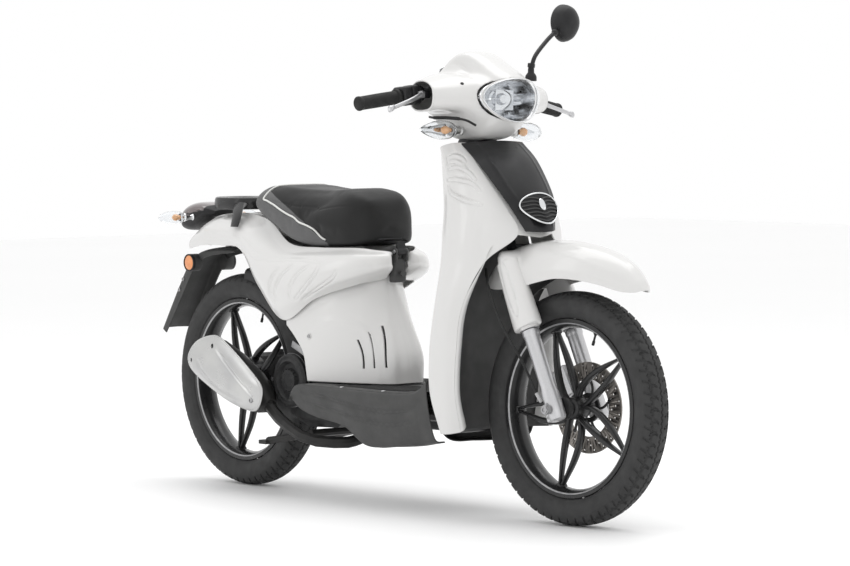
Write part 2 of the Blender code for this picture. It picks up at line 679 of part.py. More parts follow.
# ---------------------------------------------------------------- front bodywork
def shield_net():
    """Left half of the front shield: rear edge, side, corner, panel edge, middle."""
    return [[(0.238, 0.078, 0.868), (0.266, 0.098, 0.868), (0.306, 0.100, 0.868), (0.334, 0.0865, 0.868),
             (0.345, 0.0, 0.868)],
            [(0.272, 0.100, 0.800), (0.318, 0.118, 0.800), (0.374, 0.111, 0.800), (0.408, 0.082, 0.800),
             (0.425, 0.0, 0.800)],
            [(0.300, 0.120, 0.730), (0.348, 0.134, 0.730), (0.418, 0.119, 0.730), (0.462, 0.066, 0.730),
             (0.478, 0.0, 0.730)],
            [(0.311, 0.134, 0.672), (0.358, 0.146, 0.672), (0.430, 0.130, 0.672), (0.488, 0.052, 0.672),
             (0.508, 0.0, 0.670)],
            [(0.317, 0.145, 0.600), (0.358, 0.153, 0.600), (0.410, 0.146, 0.602), (0.4490, 0.122, 0.606),
             None],
            [(0.311, 0.160, 0.500), (0.342, 0.166, 0.500), (0.372, 0.163, 0.500), (0.394, 0.146, 0.500),
             None],
            [(0.3035, 0.170, 0.400), (0.332, 0.173, 0.400), (0.362, 0.169, 0.400), (0.384, 0.156, 0.400),
             None],
            [(0.306, 0.172, 0.300), (0.332, 0.175, 0.300), (0.360, 0.171, 0.300), (0.379, 0.157, 0.300),
             None],
            [(0.330, 0.160, 0.192), (0.345, 0.163, 0.190), (0.366, 0.158, 0.190), (0.382, 0.142, 0.192),
             None]]


def front_shield():
    net = shield_net()
    flank = weave([line[:4] for line in net], 17, 5)
    crown = weave([[line[3], (line[3][0] * 0.35 + line[4][0] * 0.65, line[3][1] / 2,
                              (line[3][2] + line[4][2]) / 2), line[4]] for line in net[:4]], 7, 3)
    rows = []
    for r, row in enumerate(flank):
        extra = crown[r][1:] if r < 7 else [Vector((0, 0, -1))] * 2
        rows.append(row + extra)
    obj = sheet("front_shield", rows, (0.25, 0, 0.6), mirror=True, skip=lambda r, c: r >= 6 and c >= 4)
    return put(obj, "chassis", WHITE)


def panel_net():
    """Half of the black front panel, side edge to middle, top to bottom."""
    return [[(0.334, 0.094, 0.880), (0.352, 0.050, 0.883), (0.357, 0, 0.885)],
            [(0.392, 0.092, 0.835), (0.414, 0.050, 0.835), (0.421, 0, 0.835)],
            [(0.460, 0.078, 0.762), (0.478, 0.042, 0.762), (0.485, 0, 0.762)],
            [(0.484, 0.064, 0.722), (0.502, 0.035, 0.720), (0.508, 0, 0.720)],
            [(0.506, 0.046, 0.676), (0.522, 0.025, 0.675), (0.527, 0, 0.675)]]


def front_panel():
    obj = sheet("front_panel", weave(panel_net(), 9, 5), (0.30, 0, 0.75), 0.004, mirror=True)
    return put(obj, "chassis", BLACK)


def grille():
    """The oval grille low on the front panel, standing just proud of it."""
    fore = Vector((0.8917, 0, 0.4527))
    up = Vector((-0.4527, 0, 0.8917))
    middle = Vector((0.5040, 0, 0.7285))
    rings = []
    for depth, size in ((0.0090, 0.96), (0.0118, 1.0), (0.0145, 0.92)):
        ring = []
        for k in range(20):
            a = 2 * pi * k / 20
            y = size * 0.052 * cos(a) * (1 + 0.12 * sin(a))
            z = size * 0.036 * sin(a)
            sag = 4.4 * y * y
            ring.append(middle + fore * (depth - sag) + up * z + Vector((0, y, 0)))
        rings.append(ring)
    return put(loft("grille", rings), "chassis", CHROME)


def wheel_arch_liner():
    """The dark wall behind the front wheel, hollow so that the tyre can turn."""
    rows = []
    for x0, z, edge_x, edge_y in ((0.346, 0.640, 0.405, 0.105), (0.338, 0.600, 0.398, 0.112),
                                  (0.328, 0.540, 0.386, 0.128), (0.322, 0.460, 0.380, 0.142),
                                  (0.322, 0.360, 0.374, 0.150), (0.324, 0.270, 0.368, 0.150),
                                  (0.330, 0.205, 0.372, 0.138)):
        row = []
        for k in range(9):
            u = -1 + k / 4
            row.append((x0 + (edge_x - x0) * abs(u) ** 2.4, edge_y * u, z))
        rows.append(row)
    obj = sheet("wheel_arch_liner", rows, (0.20, 0, 0.42), 0.0025)
    return put(obj, "chassis", DARK)


def inner_shield():
    """The rider's side of the leg shield."""
    net = []
    for x0, z, edge_x, edge_y in ((0.196, 0.860, 0.238, 0.072), (0.212, 0.800, 0.272, 0.095),
                                  (0.226, 0.730, 0.299, 0.115), (0.240, 0.600, 0.316, 0.140),
                                  (0.250, 0.500, 0.310, 0.155), (0.252, 0.400, 0.303, 0.165),
                                  (0.246, 0.345, 0.304, 0.167)):
        net.append([(edge_x, -edge_y, z), (x0 + 0.012, -edge_y * 0.55, z), (x0, 0, z),
                    (x0 + 0.012, edge_y * 0.55, z), (edge_x, edge_y, z)])
    obj = sheet("inner_shield", weave(net, 9, 9), (0.45, 0, 0.6))
    return put(obj, "chassis", WHITE)


# ---------------------------------------------------------------- frame and floor
def frame():
    head = put(rod("frame", steer_at(0.668), steer_at(0.856), 0.024), "chassis", FRAME_PAINT)
    spine = smooth([steer_at(0.700) + Vector((-0.014, 0, 0)), (0.306, 0, 0.600), (0.290, 0, 0.420),
                    (0.262, 0, 0.290), (0.200, 0, 0.232), (0.060, 0, 0.225), (-0.030, 0, 0.235),
                    (-0.062, 0, 0.330), (-0.105, 0, 0.392)], 14)
    pieces = [pipe("spine", spine, 0.018, 2),
              pipe("cross_tube", [(-0.105, -0.082, 0.390), (-0.105, 0.082, 0.390)], 0.012),
              pipe("pivot_link", [(-0.025, 0, 0.235), (-0.085, 0, 0.235)], 0.010),
              pipe("pivot_tube", [(-0.085, -0.028, 0.235), (-0.085, 0.028, 0.235)], 0.014)]
    for s in (-1, 1):
        rail = smooth([(-0.105, s * 0.076, 0.390), (-0.170, s * 0.092, 0.465), (-0.250, s * 0.108, 0.548),
                       (-0.400, s * 0.105, 0.588), (-0.550, s * 0.080, 0.622), (-0.700, s * 0.052, 0.640)], 9)
        pieces.append(pipe(f"rail_{s}", rail, 0.011, 1))
    pieces.append(pipe("rear_tube", [(-0.690, -0.056, 0.639), (-0.690, 0.056, 0.639)], 0.009))
    fuse(head, "chassis", *pieces)
    bore = rod("head_bore", steer_at(0.60), steer_at(0.90), 0.0135)
    return carve(head, "chassis", bore)


def floor_rows():
    """The footboard: sections across it, from the rounded rear ends to the front."""
    rows = []
    for x, deck, low in ((-0.232, 0.262, 0.240), (-0.226, 0.280, 0.229), (-0.205, 0.289, 0.221),
                         (-0.158, 0.290, 0.211), (-0.052, 0.290, 0.196), (0.026, 0.290, 0.160),
                         (0.122, 0.290, 0.164), (0.210, 0.293, 0.172), (0.260, 0.303, 0.180),
                         (0.296, 0.330, 0.186)):
        rows.append([(x, 0.118, low - 0.010 if x > 0 else low), (x, 0.150, low), (x, 0.170, (deck + low) / 2),
                     (x, 0.176, deck - 0.014), (x, 0.170, deck - 0.003), (x, 0.158, deck),
                     (x, 0.080, deck), (x, 0, deck)])
    return rows


def floorboard():
    obj = sheet("floorboard", floor_rows(), (0.05, 0, 0.2), mirror=True)
    put(obj, "chassis", DARK)
    spine_room = block("spine_room", (-0.130, -0.034, 0.240), (-0.004, 0.034, 0.330))
    engine_room = block("engine_room", (-0.300, -0.116, 0.150), (-0.118, 0.116, 0.330))
    downtube_room = block("downtube_room", (0.215, -0.028, 0.240), (0.330, 0.028, 0.400))
    return carve(obj, "chassis", spine_room, engine_room, downtube_room)


def fuel_tank():
    tank = block("fuel_tank", (0.040, 0.024, 0.182), (0.190, 0.125, 0.276), None, 0.012)
    return put(tank, "chassis", BLACK)


def underseat_panel():
    net = [[(0.018, 0, 0.294), (0.0135, 0.048, 0.294), (-0.060, 0.085, 0.294), (-0.140, 0.113, 0.294),
            (-0.216, 0.132, 0.294)],
           [(0.018, 0, 0.360), (0.0130, 0.048, 0.360), (-0.062, 0.085, 0.360), (-0.142, 0.113, 0.360),
            (-0.230, 0.133, 0.360)],
           [(-0.010, 0, 0.430), (-0.014, 0.038, 0.430), (-0.070, 0.080, 0.428), (-0.148, 0.113, 0.424),
            (-0.262, 0.134, 0.400)],
           [(-0.040, 0, 0.500), (-0.043, 0.025, 0.500), (-0.082, 0.074, 0.492), (-0.158, 0.112, 0.476),
            (-0.290, 0.134, 0.424)],
           [(-0.050, 0, 0.532), (-0.052, 0.022, 0.532), (-0.090, 0.070, 0.520), (-0.170, 0.110, 0.494),
            (-0.296, 0.134, 0.432)]]
    obj = sheet("underseat_panel", weave(net, 8, 7), (-0.2, 0, 0.4), mirror=True)
    put(obj, "chassis", WHITE)
    slots = []
    for side in (-1, 1):
        for k in range(3):
            x = -0.075 - 0.030 * k
            y = side * (0.092 + 0.012 * k)
            slots.append(block(f"louvre_{side}_{k}", (x - 0.003, y - 0.03, 0.345), (x + 0.003, y + 0.03, 0.425),
                               Matrix.Rotation(radians(-8), 4, "Y")))
    return carve(obj, "chassis", *slots)


# ---------------------------------------------------------------- rear bodywork
def side_net():
    """Left side panel: lower edge to upper edge at stations from front to rear."""
    return [[(0.012, 0.042, 0.560), (0.016, 0.052, 0.572), (0.016, 0.056, 0.588), (0.012, 0.052, 0.602),
             (0.002, 0.042, 0.612)],
            [(-0.070, 0.088, 0.534), (-0.066, 0.116, 0.550), (-0.066, 0.124, 0.575), (-0.068, 0.116, 0.602),
             (-0.074, 0.094, 0.617)],
            [(-0.190, 0.126, 0.496), (-0.190, 0.148, 0.518), (-0.190, 0.154, 0.555), (-0.190, 0.142, 0.594),
             (-0.190, 0.120, 0.612)],
            [(-0.305, 0.136, 0.440), (-0.310, 0.152, 0.480), (-0.310, 0.155, 0.535), (-0.310, 0.142, 0.588),
             (-0.310, 0.121, 0.612)],
            [(-0.415, 0.130, 0.518), (-0.415, 0.138, 0.545), (-0.415, 0.138, 0.585), (-0.415, 0.124, 0.628),
             (-0.415, 0.098, 0.655)],
            [(-0.520, 0.108, 0.606), (-0.520, 0.111, 0.622), (-0.520, 0.108, 0.642), (-0.520, 0.094, 0.664),
             (-0.520, 0.062, 0.678)],
            [(-0.620, 0.094, 0.614), (-0.620, 0.096, 0.632), (-0.620, 0.092, 0.655), (-0.620, 0.074, 0.680),
             (-0.620, 0.045, 0.690)],
            [(-0.720, 0.082, 0.612), (-0.720, 0.084, 0.628), (-0.720, 0.080, 0.648), (-0.720, 0.064, 0.668),
             (-0.720, 0.040, 0.680)],
            [(-0.808, 0.058, 0.600), (-0.808, 0.060, 0.610), (-0.808, 0.056, 0.622), (-0.806, 0.046, 0.634),
             (-0.804, 0.030, 0.642)]]


def side_panels():
    def one(side, word):
        net = side_net() if side > 0 else flip(side_net())
        obj = sheet("side_panel_" + word, weave(net, 17, 7), (-0.40, 0, 0.58))
        put(obj, "chassis", WHITE)

    sides(one)


def tail_cover():
    rows = []
    for x, half, edge, middle in ((-0.500, 0.061, 0.668, 0.668), (-0.560, 0.049, 0.682, 0.684),
                                  (-0.620, 0.041, 0.690, 0.694), (-0.680, 0.037, 0.686, 0.694),
                                  (-0.720, 0.036, 0.680, 0.687), (-0.770, 0.033, 0.660, 0.667),
                                  (-0.806, 0.028, 0.641, 0.646), (-0.822, 0.024, 0.622, 0.626),
                                  (-0.826, 0.022, 0.606, 0.608)):
        rows.append([(x, half, edge), (x, half * 0.55, edge * 0.3 + middle * 0.7), (x, 0, middle)])
    obj = sheet("tail_cover", rows, (-0.65, 0, 0.60), mirror=True)
    return put(obj, "chassis", WHITE)


def storage_bay():
    rear, step, front, half, wall = -0.435, -0.290, -0.122, 0.074, 0.003
    high, low, rim = 0.556, 0.472, 0.606
    outer = [(rear, rim), (rear, high), (step, high), (step + 0.030, low), (front - 0.010, low), (front, rim)]
    inner = [(rear + wall, rim + 0.04), (rear + wall, high + wall), (step + 0.002, high + wall),
             (step + 0.032, low + wall), (front - 0.013, low + wall), (front - 0.002, rim + 0.04)]
    obj = put(prism("storage_bay", outer, -half, half), "chassis", BLACK)
    return carve(obj, "chassis", prism("storage_room", inner, wall - half, half - wall))


def seat_bracket():
    """The bracket under the seat's nose that carries its hinge and a bag hook."""
    obj = block("seat_bracket", (-0.036, -0.030, 0.540), (-0.004, 0.030, 0.598), None, 0.005)
    put(obj, "chassis", BLACK)
    ears = [rod(f"hinge_ear_{s}", (SEAT_PIVOT[0], s * 0.014, SEAT_PIVOT[2]),
                (SEAT_PIVOT[0], s * 0.030, SEAT_PIVOT[2]), 0.0085) for s in (-1, 1)]
    webs = [block(f"hinge_web_{s}", (-0.026, min(s * 0.014, s * 0.030), 0.590),
                  (-0.004, max(s * 0.014, s * 0.030), 0.611)) for s in (-1, 1)]
    hook = pipe("bag_hook", smooth([(-0.004, 0, 0.566), (0.012, 0, 0.562), (0.020, 0, 0.574), (0.017, 0, 0.588)],
                                   7), 0.005)
    hook.matrix_basis = Matrix.Translation((-0.002, 0, 0))
    return fuse(obj, "chassis", *webs, *ears, hook)


SEAT_STATIONS = ((-0.044, 0.655, 0.704, 0.036), (-0.050, 0.646, 0.722, 0.064), (-0.066, 0.638, 0.745, 0.088),
                 (-0.100, 0.632, 0.760, 0.105), (-0.160, 0.629, 0.760, 0.112), (-0.230, 0.629, 0.757, 0.118),
                 (-0.300, 0.642, 0.760, 0.125), (-0.370, 0.672, 0.765, 0.130), (-0.430, 0.700, 0.766, 0.126),
                 (-0.470, 0.718, 0.757, 0.108), (-0.490, 0.728, 0.746, 0.080))


def seat():
    rings = []
    for x, low, top, half in SEAT_STATIONS:
        tall = top - low
        half_ring = [(0, low), (0.70, low), (0.95, low + 0.12 * tall), (1.0, low + 0.42 * tall),
                     (0.93, low + 0.76 * tall), (0.70, top - 0.055 * tall), (0.36, top - 0.005 * tall)]
        ring = [(x, half * u, z) for u, z in half_ring] + [(x, 0, top)]
        ring += [(x, -half * u, z) for u, z in half_ring[:0:-1]]
        rings.append(ring)
    put(loft("seat_cushion", rings), "seat", VINYL)
    rows = []
    for x, low, top, half in SEAT_STATIONS[1:-1]:
        rows.append([(x, u * (half - 0.016) * 0.72, low - 0.0006) for u in (-1, -0.5, 0, 0.5, 1)])
    base = sheet("seat_base", rows, (-0.25, 0, 2.0), 0.004)
    base.modifiers["thickness"].offset = 1
    put(base, "seat", BLACK)
    tongue = block("hinge_tongue", (-0.060, -0.012, 0.6330), (SEAT_PIVOT[0] + 0.004, 0.012, 0.6385))
    knuckle = rod("hinge_knuckle", (SEAT_PIVOT[0], -0.0125, SEAT_PIVOT[2]), (SEAT_PIVOT[0], 0.0125, SEAT_PIVOT[2]),
                  0.0085)
    strap = block("hinge_strap", (SEAT_PIVOT[0] - 0.004, -0.012, SEAT_PIVOT[2]),
                  (SEAT_PIVOT[0] + 0.004, 0.012, 0.6385))
    return fuse(base, "seat", tongue, strap, knuckle)


def grab_rail():
    """A flat carrier loop with a hand slot, on two feet beside the tail."""
    rings = []
    for z, grow in ((0.705, -0.004), (0.710, 0.0), (0.730, 0.0), (0.736, -0.005)):
        rings.append(oval((-0.635, 0, z), (0.085 + grow, 0, 0), (0, 0.070 + grow, 0), 24, squash=1.35))
    obj = put(loft("grab_rail", rings), "chassis", BLACK)
    slot = loft("hand_slot", [oval((-0.630, 0, z), (0.050, 0, 0), (0, 0.040, 0), 20, squash=1.3)
                              for z in (0.690, 0.760)])
    feet = [loft(f"rail_foot_{s}", [oval((-0.575, s * 0.060, 0.715), (0.020, 0, 0), (0, 0.010, 0), 8),
                                    oval((-0.555, s * 0.092, 0.690), (0.018, 0, 0), (0, 0.006, 0), 8),
                                    oval((-0.545, s * 0.108, 0.664), (0.014, 0, 0), (0, 0.005, 0), 8)])
            for s in (-1, 1)]
    fuse(obj, "chassis", *feet)
    return carve(obj, "chassis", slot)


def tail_light():
    rings = []
    for x, low, top, half in ((-0.735, 0.6870, 0.700, 0.030), (-0.755, 0.6800, 0.712, 0.050),
                              (-0.790, 0.6640, 0.720, 0.060), (-0.825, 0.6480, 0.716, 0.060),
                              (-0.850, 0.6460, 0.702, 0.054), (-0.862, 0.6500, 0.688, 0.040)):
        rings.append(oval((x, 0, (low + top) / 2), (0, half, 0), (0, 0, (top - low) / 2), 16, squash=1.5))
    return put(loft("tail_light", rings), "chassis", BLACK)


def rear_indicators():
    def one(side, word):
        rings = []
        for y, radius, x in ((0.0640, 0.007, -0.792), (0.082, 0.008, -0.795), (0.090, 0.015, -0.797),
                             (0.110, 0.021, -0.801), (0.130, 0.020, -0.803), (0.148, 0.013, -0.803),
                             (0.158, 0.003, -0.802)):
            rings.append(oval((x, side * y, 0.682), (radius * 1.1, 0, 0), (0, 0, radius * 0.8), 12))
        put(loft("rear_indicator_" + word, rings), "chassis", CLEAR)

    sides(one)


def rear_mudguard():
    """The long mudguard behind the wheel, with a boss for a reflector on each side."""
    rows = []
    for x, z, half, deep in ((-0.640, 0.606, 0.040, 0.012), (-0.720, 0.604, 0.044, 0.018),
                             (-0.790, 0.590, 0.046, 0.026), (-0.838, 0.556, 0.047, 0.030),
                             (-0.880, 0.500, 0.047, 0.030), (-0.916, 0.445, 0.048, 0.028),
                             (-0.950, 0.390, 0.050, 0.024)):
        lean = max(0.0, min(1.0, (-0.72 - x) / 0.12))
        back = Vector((-0.86 * lean, 0, 1 - 0.49 * lean))
        top = Vector((x, 0, z))
        rows.append([top - back * deep + Vector((0, half, 0)), top - back * 0.006 + Vector((0, half * 0.96, 0)),
                     top + Vector((0, half * 0.7, 0)), top + back * 0.002])
    obj = sheet("rear_mudguard", rows, (-0.62, 0, 0.30), mirror=True)
    put(obj, "chassis", DARK)
    bosses = [rod(f"reflector_boss_{s}", (-0.800, s * 0.038, 0.564), (-0.800, s * 0.070, 0.564), 0.023, 18)
              for s in (-1, 1)]
    return fuse(obj, "chassis", *bosses)


# ---------------------------------------------------------------- engine and what it carries
def engine_case():
    """Crankcase, fan cover and the transmission arm that carries the rear wheel."""
    crank = loft("engine_case", [[(x, y, z) for y, z in ((-0.086, low + 0.02), (-0.060, low), (0.070, low),
                                                         (0.092, low + 0.02), (0.092, top - 0.02), (0.070, top),
                                                         (-0.060, top), (-0.086, top - 0.02))]
                                 for x, low, top in ((-0.345, 0.185, 0.345), (-0.300, 0.172, 0.352),
                                                     (-0.190, 0.176, 0.340), (-0.140, 0.205, 0.300))])
    put(crank, "engine", FRAME_PAINT)
    arm = loft("transmission", [[(x, y, z) for y, z in ((0.060, low + 0.01), (0.070, low), (0.122, low),
                                                        (0.136, low + 0.014), (0.136, top - 0.014), (0.122, top),
                                                        (0.070, top), (0.060, top - 0.01))]
                                for x, low, top in ((-0.700, 0.235, 0.305), (-0.670, 0.212, 0.332),
                                                    (-0.580, 0.206, 0.338), (-0.420, 0.212, 0.330),
                                                    (-0.320, 0.190, 0.350), (-0.266, 0.195, 0.345),
                                                    (-0.242, 0.225, 0.310))])
    fan = turned("fan_cover", [(0, 0.036), (0.026, 0.036), (0.030, 0.026), (0.042, 0.026), (0.048, 0.036),
                               (0.060, 0.030), (0.066, 0), (0, 0)], (-0.317, -0.080, 0.289), (0, -1, 0), 24)
    side = prism("side_case", [(-0.462, 0.222), (-0.440, 0.290), (-0.380, 0.345), (-0.310, 0.350), (-0.250, 0.300),
                               (-0.250, 0.215), (-0.330, 0.190), (-0.420, 0.190)], -0.073, -0.060)
    lugs = [block(f"pivot_lug_{s}", (-0.200, min(s * 0.0295, s * 0.0440), 0.212),
                  (-0.076, max(s * 0.0295, s * 0.0440), 0.256)) for s in (-1, 1)]
    axle = rod("rear_axle", (-HALF_BASE, 0.0700, WHEEL_R), (-HALF_BASE, -0.044, WHEEL_R), 0.0060)
    shock_lug = block("shock_lug", (-0.612, 0.064, 0.330), (-0.588, 0.080, 0.3440))
    cylinder = loft("cylinder", [[(x, y, 0.320), (x, -y, 0.320), (x, -y, top), (x, y, top)]
                                 for x, y, top in ((-0.296, 0.050, 0.395), (-0.240, 0.056, 0.405),
                                                   (-0.170, 0.050, 0.380))])
    return fuse(crank, "engine", arm, side, fan, *lugs, axle, shock_lug, cylinder)


MUFFLER_FRONT = Vector((-0.385, -0.119, 0.2225))
MUFFLER_REAR = Vector((-0.640, -0.119, 0.352))


def exhaust():
    line = MUFFLER_REAR - MUFFLER_FRONT
    up = Vector((0, -1, 0)).cross(line).normalized()
    rings = []
    for t, wide, tall in ((0.0, 0.018, 0.020), (0.10, 0.034, 0.038), (0.30, 0.043, 0.050), (0.62, 0.045, 0.054),
                          (0.86, 0.040, 0.048), (1.0, 0.024, 0.028)):
        rings.append(oval(MUFFLER_FRONT + line * t, (0, wide, 0), up * tall, 14))
    obj = put(loft("exhaust", rings), "engine", BLACK)
    header = pipe("exhaust_header", smooth([MUFFLER_FRONT + line * 0.05, (-0.340, -0.119, 0.188),
                                            (-0.240, -0.112, 0.148), (-0.160, -0.060, 0.142),
                                            (-0.150, -0.020, 0.150)], 10), 0.015, 2)
    tail = pipe("exhaust_tail", [MUFFLER_REAR - line * 0.06, MUFFLER_REAR + line * 0.06], 0.008)
    return fuse(obj, "engine", header, tail)


def heat_shield():
    """The polished plate outside the muffler."""
    middle = Vector((-0.535, 0, 0.296))
    along = Vector((-0.895, 0, 0.446))
    up = Vector((-0.446, 0, -0.895)) * -1
    rings = []
    for y, size in ((-0.1655, 0.80), (-0.1655, 1.0), (-0.1680, 1.0), (-0.1765, 0.82), (-0.1800, 0.45)):
        ring = []
        for k in range(20):
            a = 2 * pi * k / 20
            u = 0.158 * cos(a)
            v = 0.056 * sin(a) * (1 + 0.22 * cos(a))
            ring.append(middle + along * u * size + up * v * size + Vector((0, y, 0)))
        rings.append(ring)
    return put(loft("heat_shield", rings), "engine", SILVER)


def kick_starter():
    pivot = Vector(KICK_PIVOT)
    shaft = rod("kick_starter", pivot, pivot + Vector((0, 0.022, 0)), 0.010)
    put(shaft, "kick_starter", STEEL)
    arm = pipe("kick_arm", smooth([pivot + Vector((0, 0.014, 0)), pivot + Vector((-0.080, 0.014, 0.010)),
                              pivot + Vector((-0.165, 0.015, 0.006))], 5), 0.007)
    end = pivot + Vector((-0.163, 0.011, 0.006))
    pedal = rod("kick_pedal", end, end + Vector((0, 0.045, 0)), 0.009, 12)
    return fuse(shaft, "kick_starter", arm, pedal)


def centre_stand():
    """Two legs on a cross tube, folded back under the engine."""
    x, _, z = STAND_PIVOT
    obj = put(pipe("centre_stand", [(x, -0.082, z), (x, 0.082, z)], 0.010), "stand", BLACK)
    pieces = []
    for s in (-1, 1):
        pieces.append(pipe(f"stand_leg_{s}", [(x, s * 0.074, z), (-0.360, s * 0.080, 0.142),
                                              (-0.440, s * 0.086, 0.130)], 0.009))
        pieces.append(block(f"stand_foot_{s}", (-0.462, s * 0.086 - 0.014, 0.121),
                            (-0.432, s * 0.086 + 0.014, 0.131)))
    return fuse(obj, "stand", *pieces)


SHOCK_TOP = Vector((-0.530, 0.082, 0.588))
SHOCK_FOOT = Vector((-0.600, 0.082, 0.358))


def rear_shock():
    line = (SHOCK_FOOT - SHOCK_TOP).normalized()
    long = (SHOCK_FOOT - SHOCK_TOP).length
    top_profile = [(0, 0), (0.0135, 0), (0.0135, -0.030), (0.0195, -0.034), (0.0195, -0.040), (0.0110, -0.042),
                   (0.0110, -0.134), (0.0062, -0.134), (0.0062, -0.058), (0, -0.058)]
    upper = turned("shock_body", top_profile, SHOCK_TOP + line * 0.012, -line, 16)
    put(upper, "shock", BLACK)
    spring = turned("shock_spring", [(0.0210, -0.0406), (0.0210, -long + 0.0494), (0.0120, -long + 0.0494),
                                     (0.0120, -0.0425), (0.0200, -0.0406)], SHOCK_TOP + line * 0.012, -line, 16,
                    True)
    put(spring, "shock", STEEL)
    low_profile = [(0, -0.112), (0.0055, -0.112), (0.0055, -long + 0.049), (0.0195, -long + 0.049),
                   (0.0195, -long + 0.043), (0.0090, -long + 0.038), (0.0090, -long + 0.013), (0, -long + 0.013)]
    rod_end = turned("shock_rod", low_profile, SHOCK_TOP + line * 0.012, -line, 16)
    put(rod_end, "shock_rod", STEEL)


# ---------------------------------------------------------------- the scooter
def joints():
    """Empties on the joint axes, each carrying what moves with it."""
    chassis = group("chassis", (0, 0, 0))
    chassis.location = (HALF_BASE, 0, 0)
    group("steering", STEER_FOOT, "chassis", Quaternion(STEER_AXIS, STEER_REST)).location.z += STEER_LIFT
    group("sliders", fork_at(WHEEL_R), "steering")
    group("front_wheel", fork_at(WHEEL_R), "sliders")
    group("throttle", bar_point(-0.2075), "steering")
    for side, word in ((1, "left"), (-1, "right")):
        group("lever_" + word, lever_pivot(side), "steering")
    group("starter", button_place(-1), "steering")
    group("horn", button_place(1), "steering")
    group("mirror_stem", MIRROR_FOOT, "steering")
    group("mirror_head", MIRROR_BALL, "mirror_stem")
    group("seat", SEAT_PIVOT, "chassis")
    group("engine", ENGINE_PIVOT, "chassis")
    group("rear_wheel", (-HALF_BASE, 0, WHEEL_R), "engine")
    group("stand", STAND_PIVOT, "engine")
    group("kick_starter", KICK_PIVOT, "engine")
    group("shock", SHOCK_TOP, "chassis")
    group("shock_rod", SHOCK_TOP, "shock")


def main():
    joints()
    front_wheel()
    rear_wheel()
    steering_stem()
    front_fender()
    inner_mudguard()
    fork_sliders()
    front_axle()
    brake_caliper()
    handlebar()
    grip("grip_left", 1, "steering")
    grip("throttle_grip", -1, "throttle")
    switchgear()
    button("starter_button", -1, "starter")
    button("horn_button", 1, "horn")
    sides(brake_lever)
    headset_cowl()
    headlight()
    instrument_dial()
    front_indicators()
    mirror()
    cables()
    front_shield()
    front_panel()
    grille()
    wheel_arch_liner()
    inner_shield()
    frame()
    floorboard()
    fuel_tank()
    underseat_panel()
    side_panels()
    tail_cover()
    storage_bay()
    seat_bracket()
    seat()
    grab_rail()
    tail_light()
    rear_indicators()
    rear_mudguard()
    engine_case()
    exhaust()
    heat_shield()
    kick_starter()
    centre_stand()
    rear_shock()


main()
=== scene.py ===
"""Looks of the moped scooter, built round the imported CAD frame.

Pieces are drawn in the same coordinates as the CAD source: metres from the middle of the
wheelbase on the ground, with the steering straight ahead. place() carries each finished mesh
into the frame's own coordinates and turns the steered ones with the fork.
"""
from math import cos, pi, radians, sin, tan

import bmesh
import bpy
import numpy as np
from mathutils import Matrix, Quaternion, Vector
from mathutils.bvhtree import BVHTree


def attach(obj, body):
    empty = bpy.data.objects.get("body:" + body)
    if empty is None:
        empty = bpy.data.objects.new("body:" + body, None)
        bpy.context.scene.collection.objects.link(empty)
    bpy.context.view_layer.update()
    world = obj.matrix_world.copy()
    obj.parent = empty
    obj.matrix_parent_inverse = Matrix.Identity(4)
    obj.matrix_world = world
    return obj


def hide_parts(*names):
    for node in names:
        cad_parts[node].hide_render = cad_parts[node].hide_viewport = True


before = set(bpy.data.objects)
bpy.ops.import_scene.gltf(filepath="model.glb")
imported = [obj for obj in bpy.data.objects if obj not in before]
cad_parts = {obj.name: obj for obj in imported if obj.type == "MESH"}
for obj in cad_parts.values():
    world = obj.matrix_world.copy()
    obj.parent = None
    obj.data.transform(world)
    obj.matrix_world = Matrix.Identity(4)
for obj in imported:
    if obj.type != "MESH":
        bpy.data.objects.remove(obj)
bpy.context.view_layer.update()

# ---------------------------------------------------------------- dimensions shared with the CAD
WHEEL_R = 0.270
RIM_HOLE_R = 0.186
HALF_BASE = 0.6265
RAKE = radians(26)
STEER_REST = radians(4.2)
STEER_LIFT = 0.0006
FORK_HALF = 0.070
STEER_AXIS = Vector((-sin(RAKE), 0, cos(RAKE)))
STEER_FORE = Vector((cos(RAKE), 0, sin(RAKE)))
STEER_FOOT = Vector((0.7125, 0, 0))
SIDE = Vector((0, 1, 0))
REAR_AXLE = Vector((-HALF_BASE, 0, WHEEL_R))

AHEAD = Matrix.Translation((HALF_BASE, 0, 0))
STEERED = (AHEAD @ Matrix.Translation(STEER_FOOT + Vector((0, 0, STEER_LIFT)))
    @ Quaternion(STEER_AXIS, STEER_REST).to_matrix().to_4x4() @ Matrix.Translation(-STEER_FOOT))
UNSTEERED_BODIES = ("chassis", "seat", "engine", "rear_wheel", "kick_starter", "centre_stand", "shock",
    "shock_rod")


def steer_at(z, y=0.0):
    return Vector((STEER_FOOT.x - z * tan(RAKE), y, z))


def fork_at(z, y=0.0):
    return Vector((HALF_BASE - (z - WHEEL_R) * tan(RAKE), y, z))


FRONT_AXLE = fork_at(WHEEL_R)


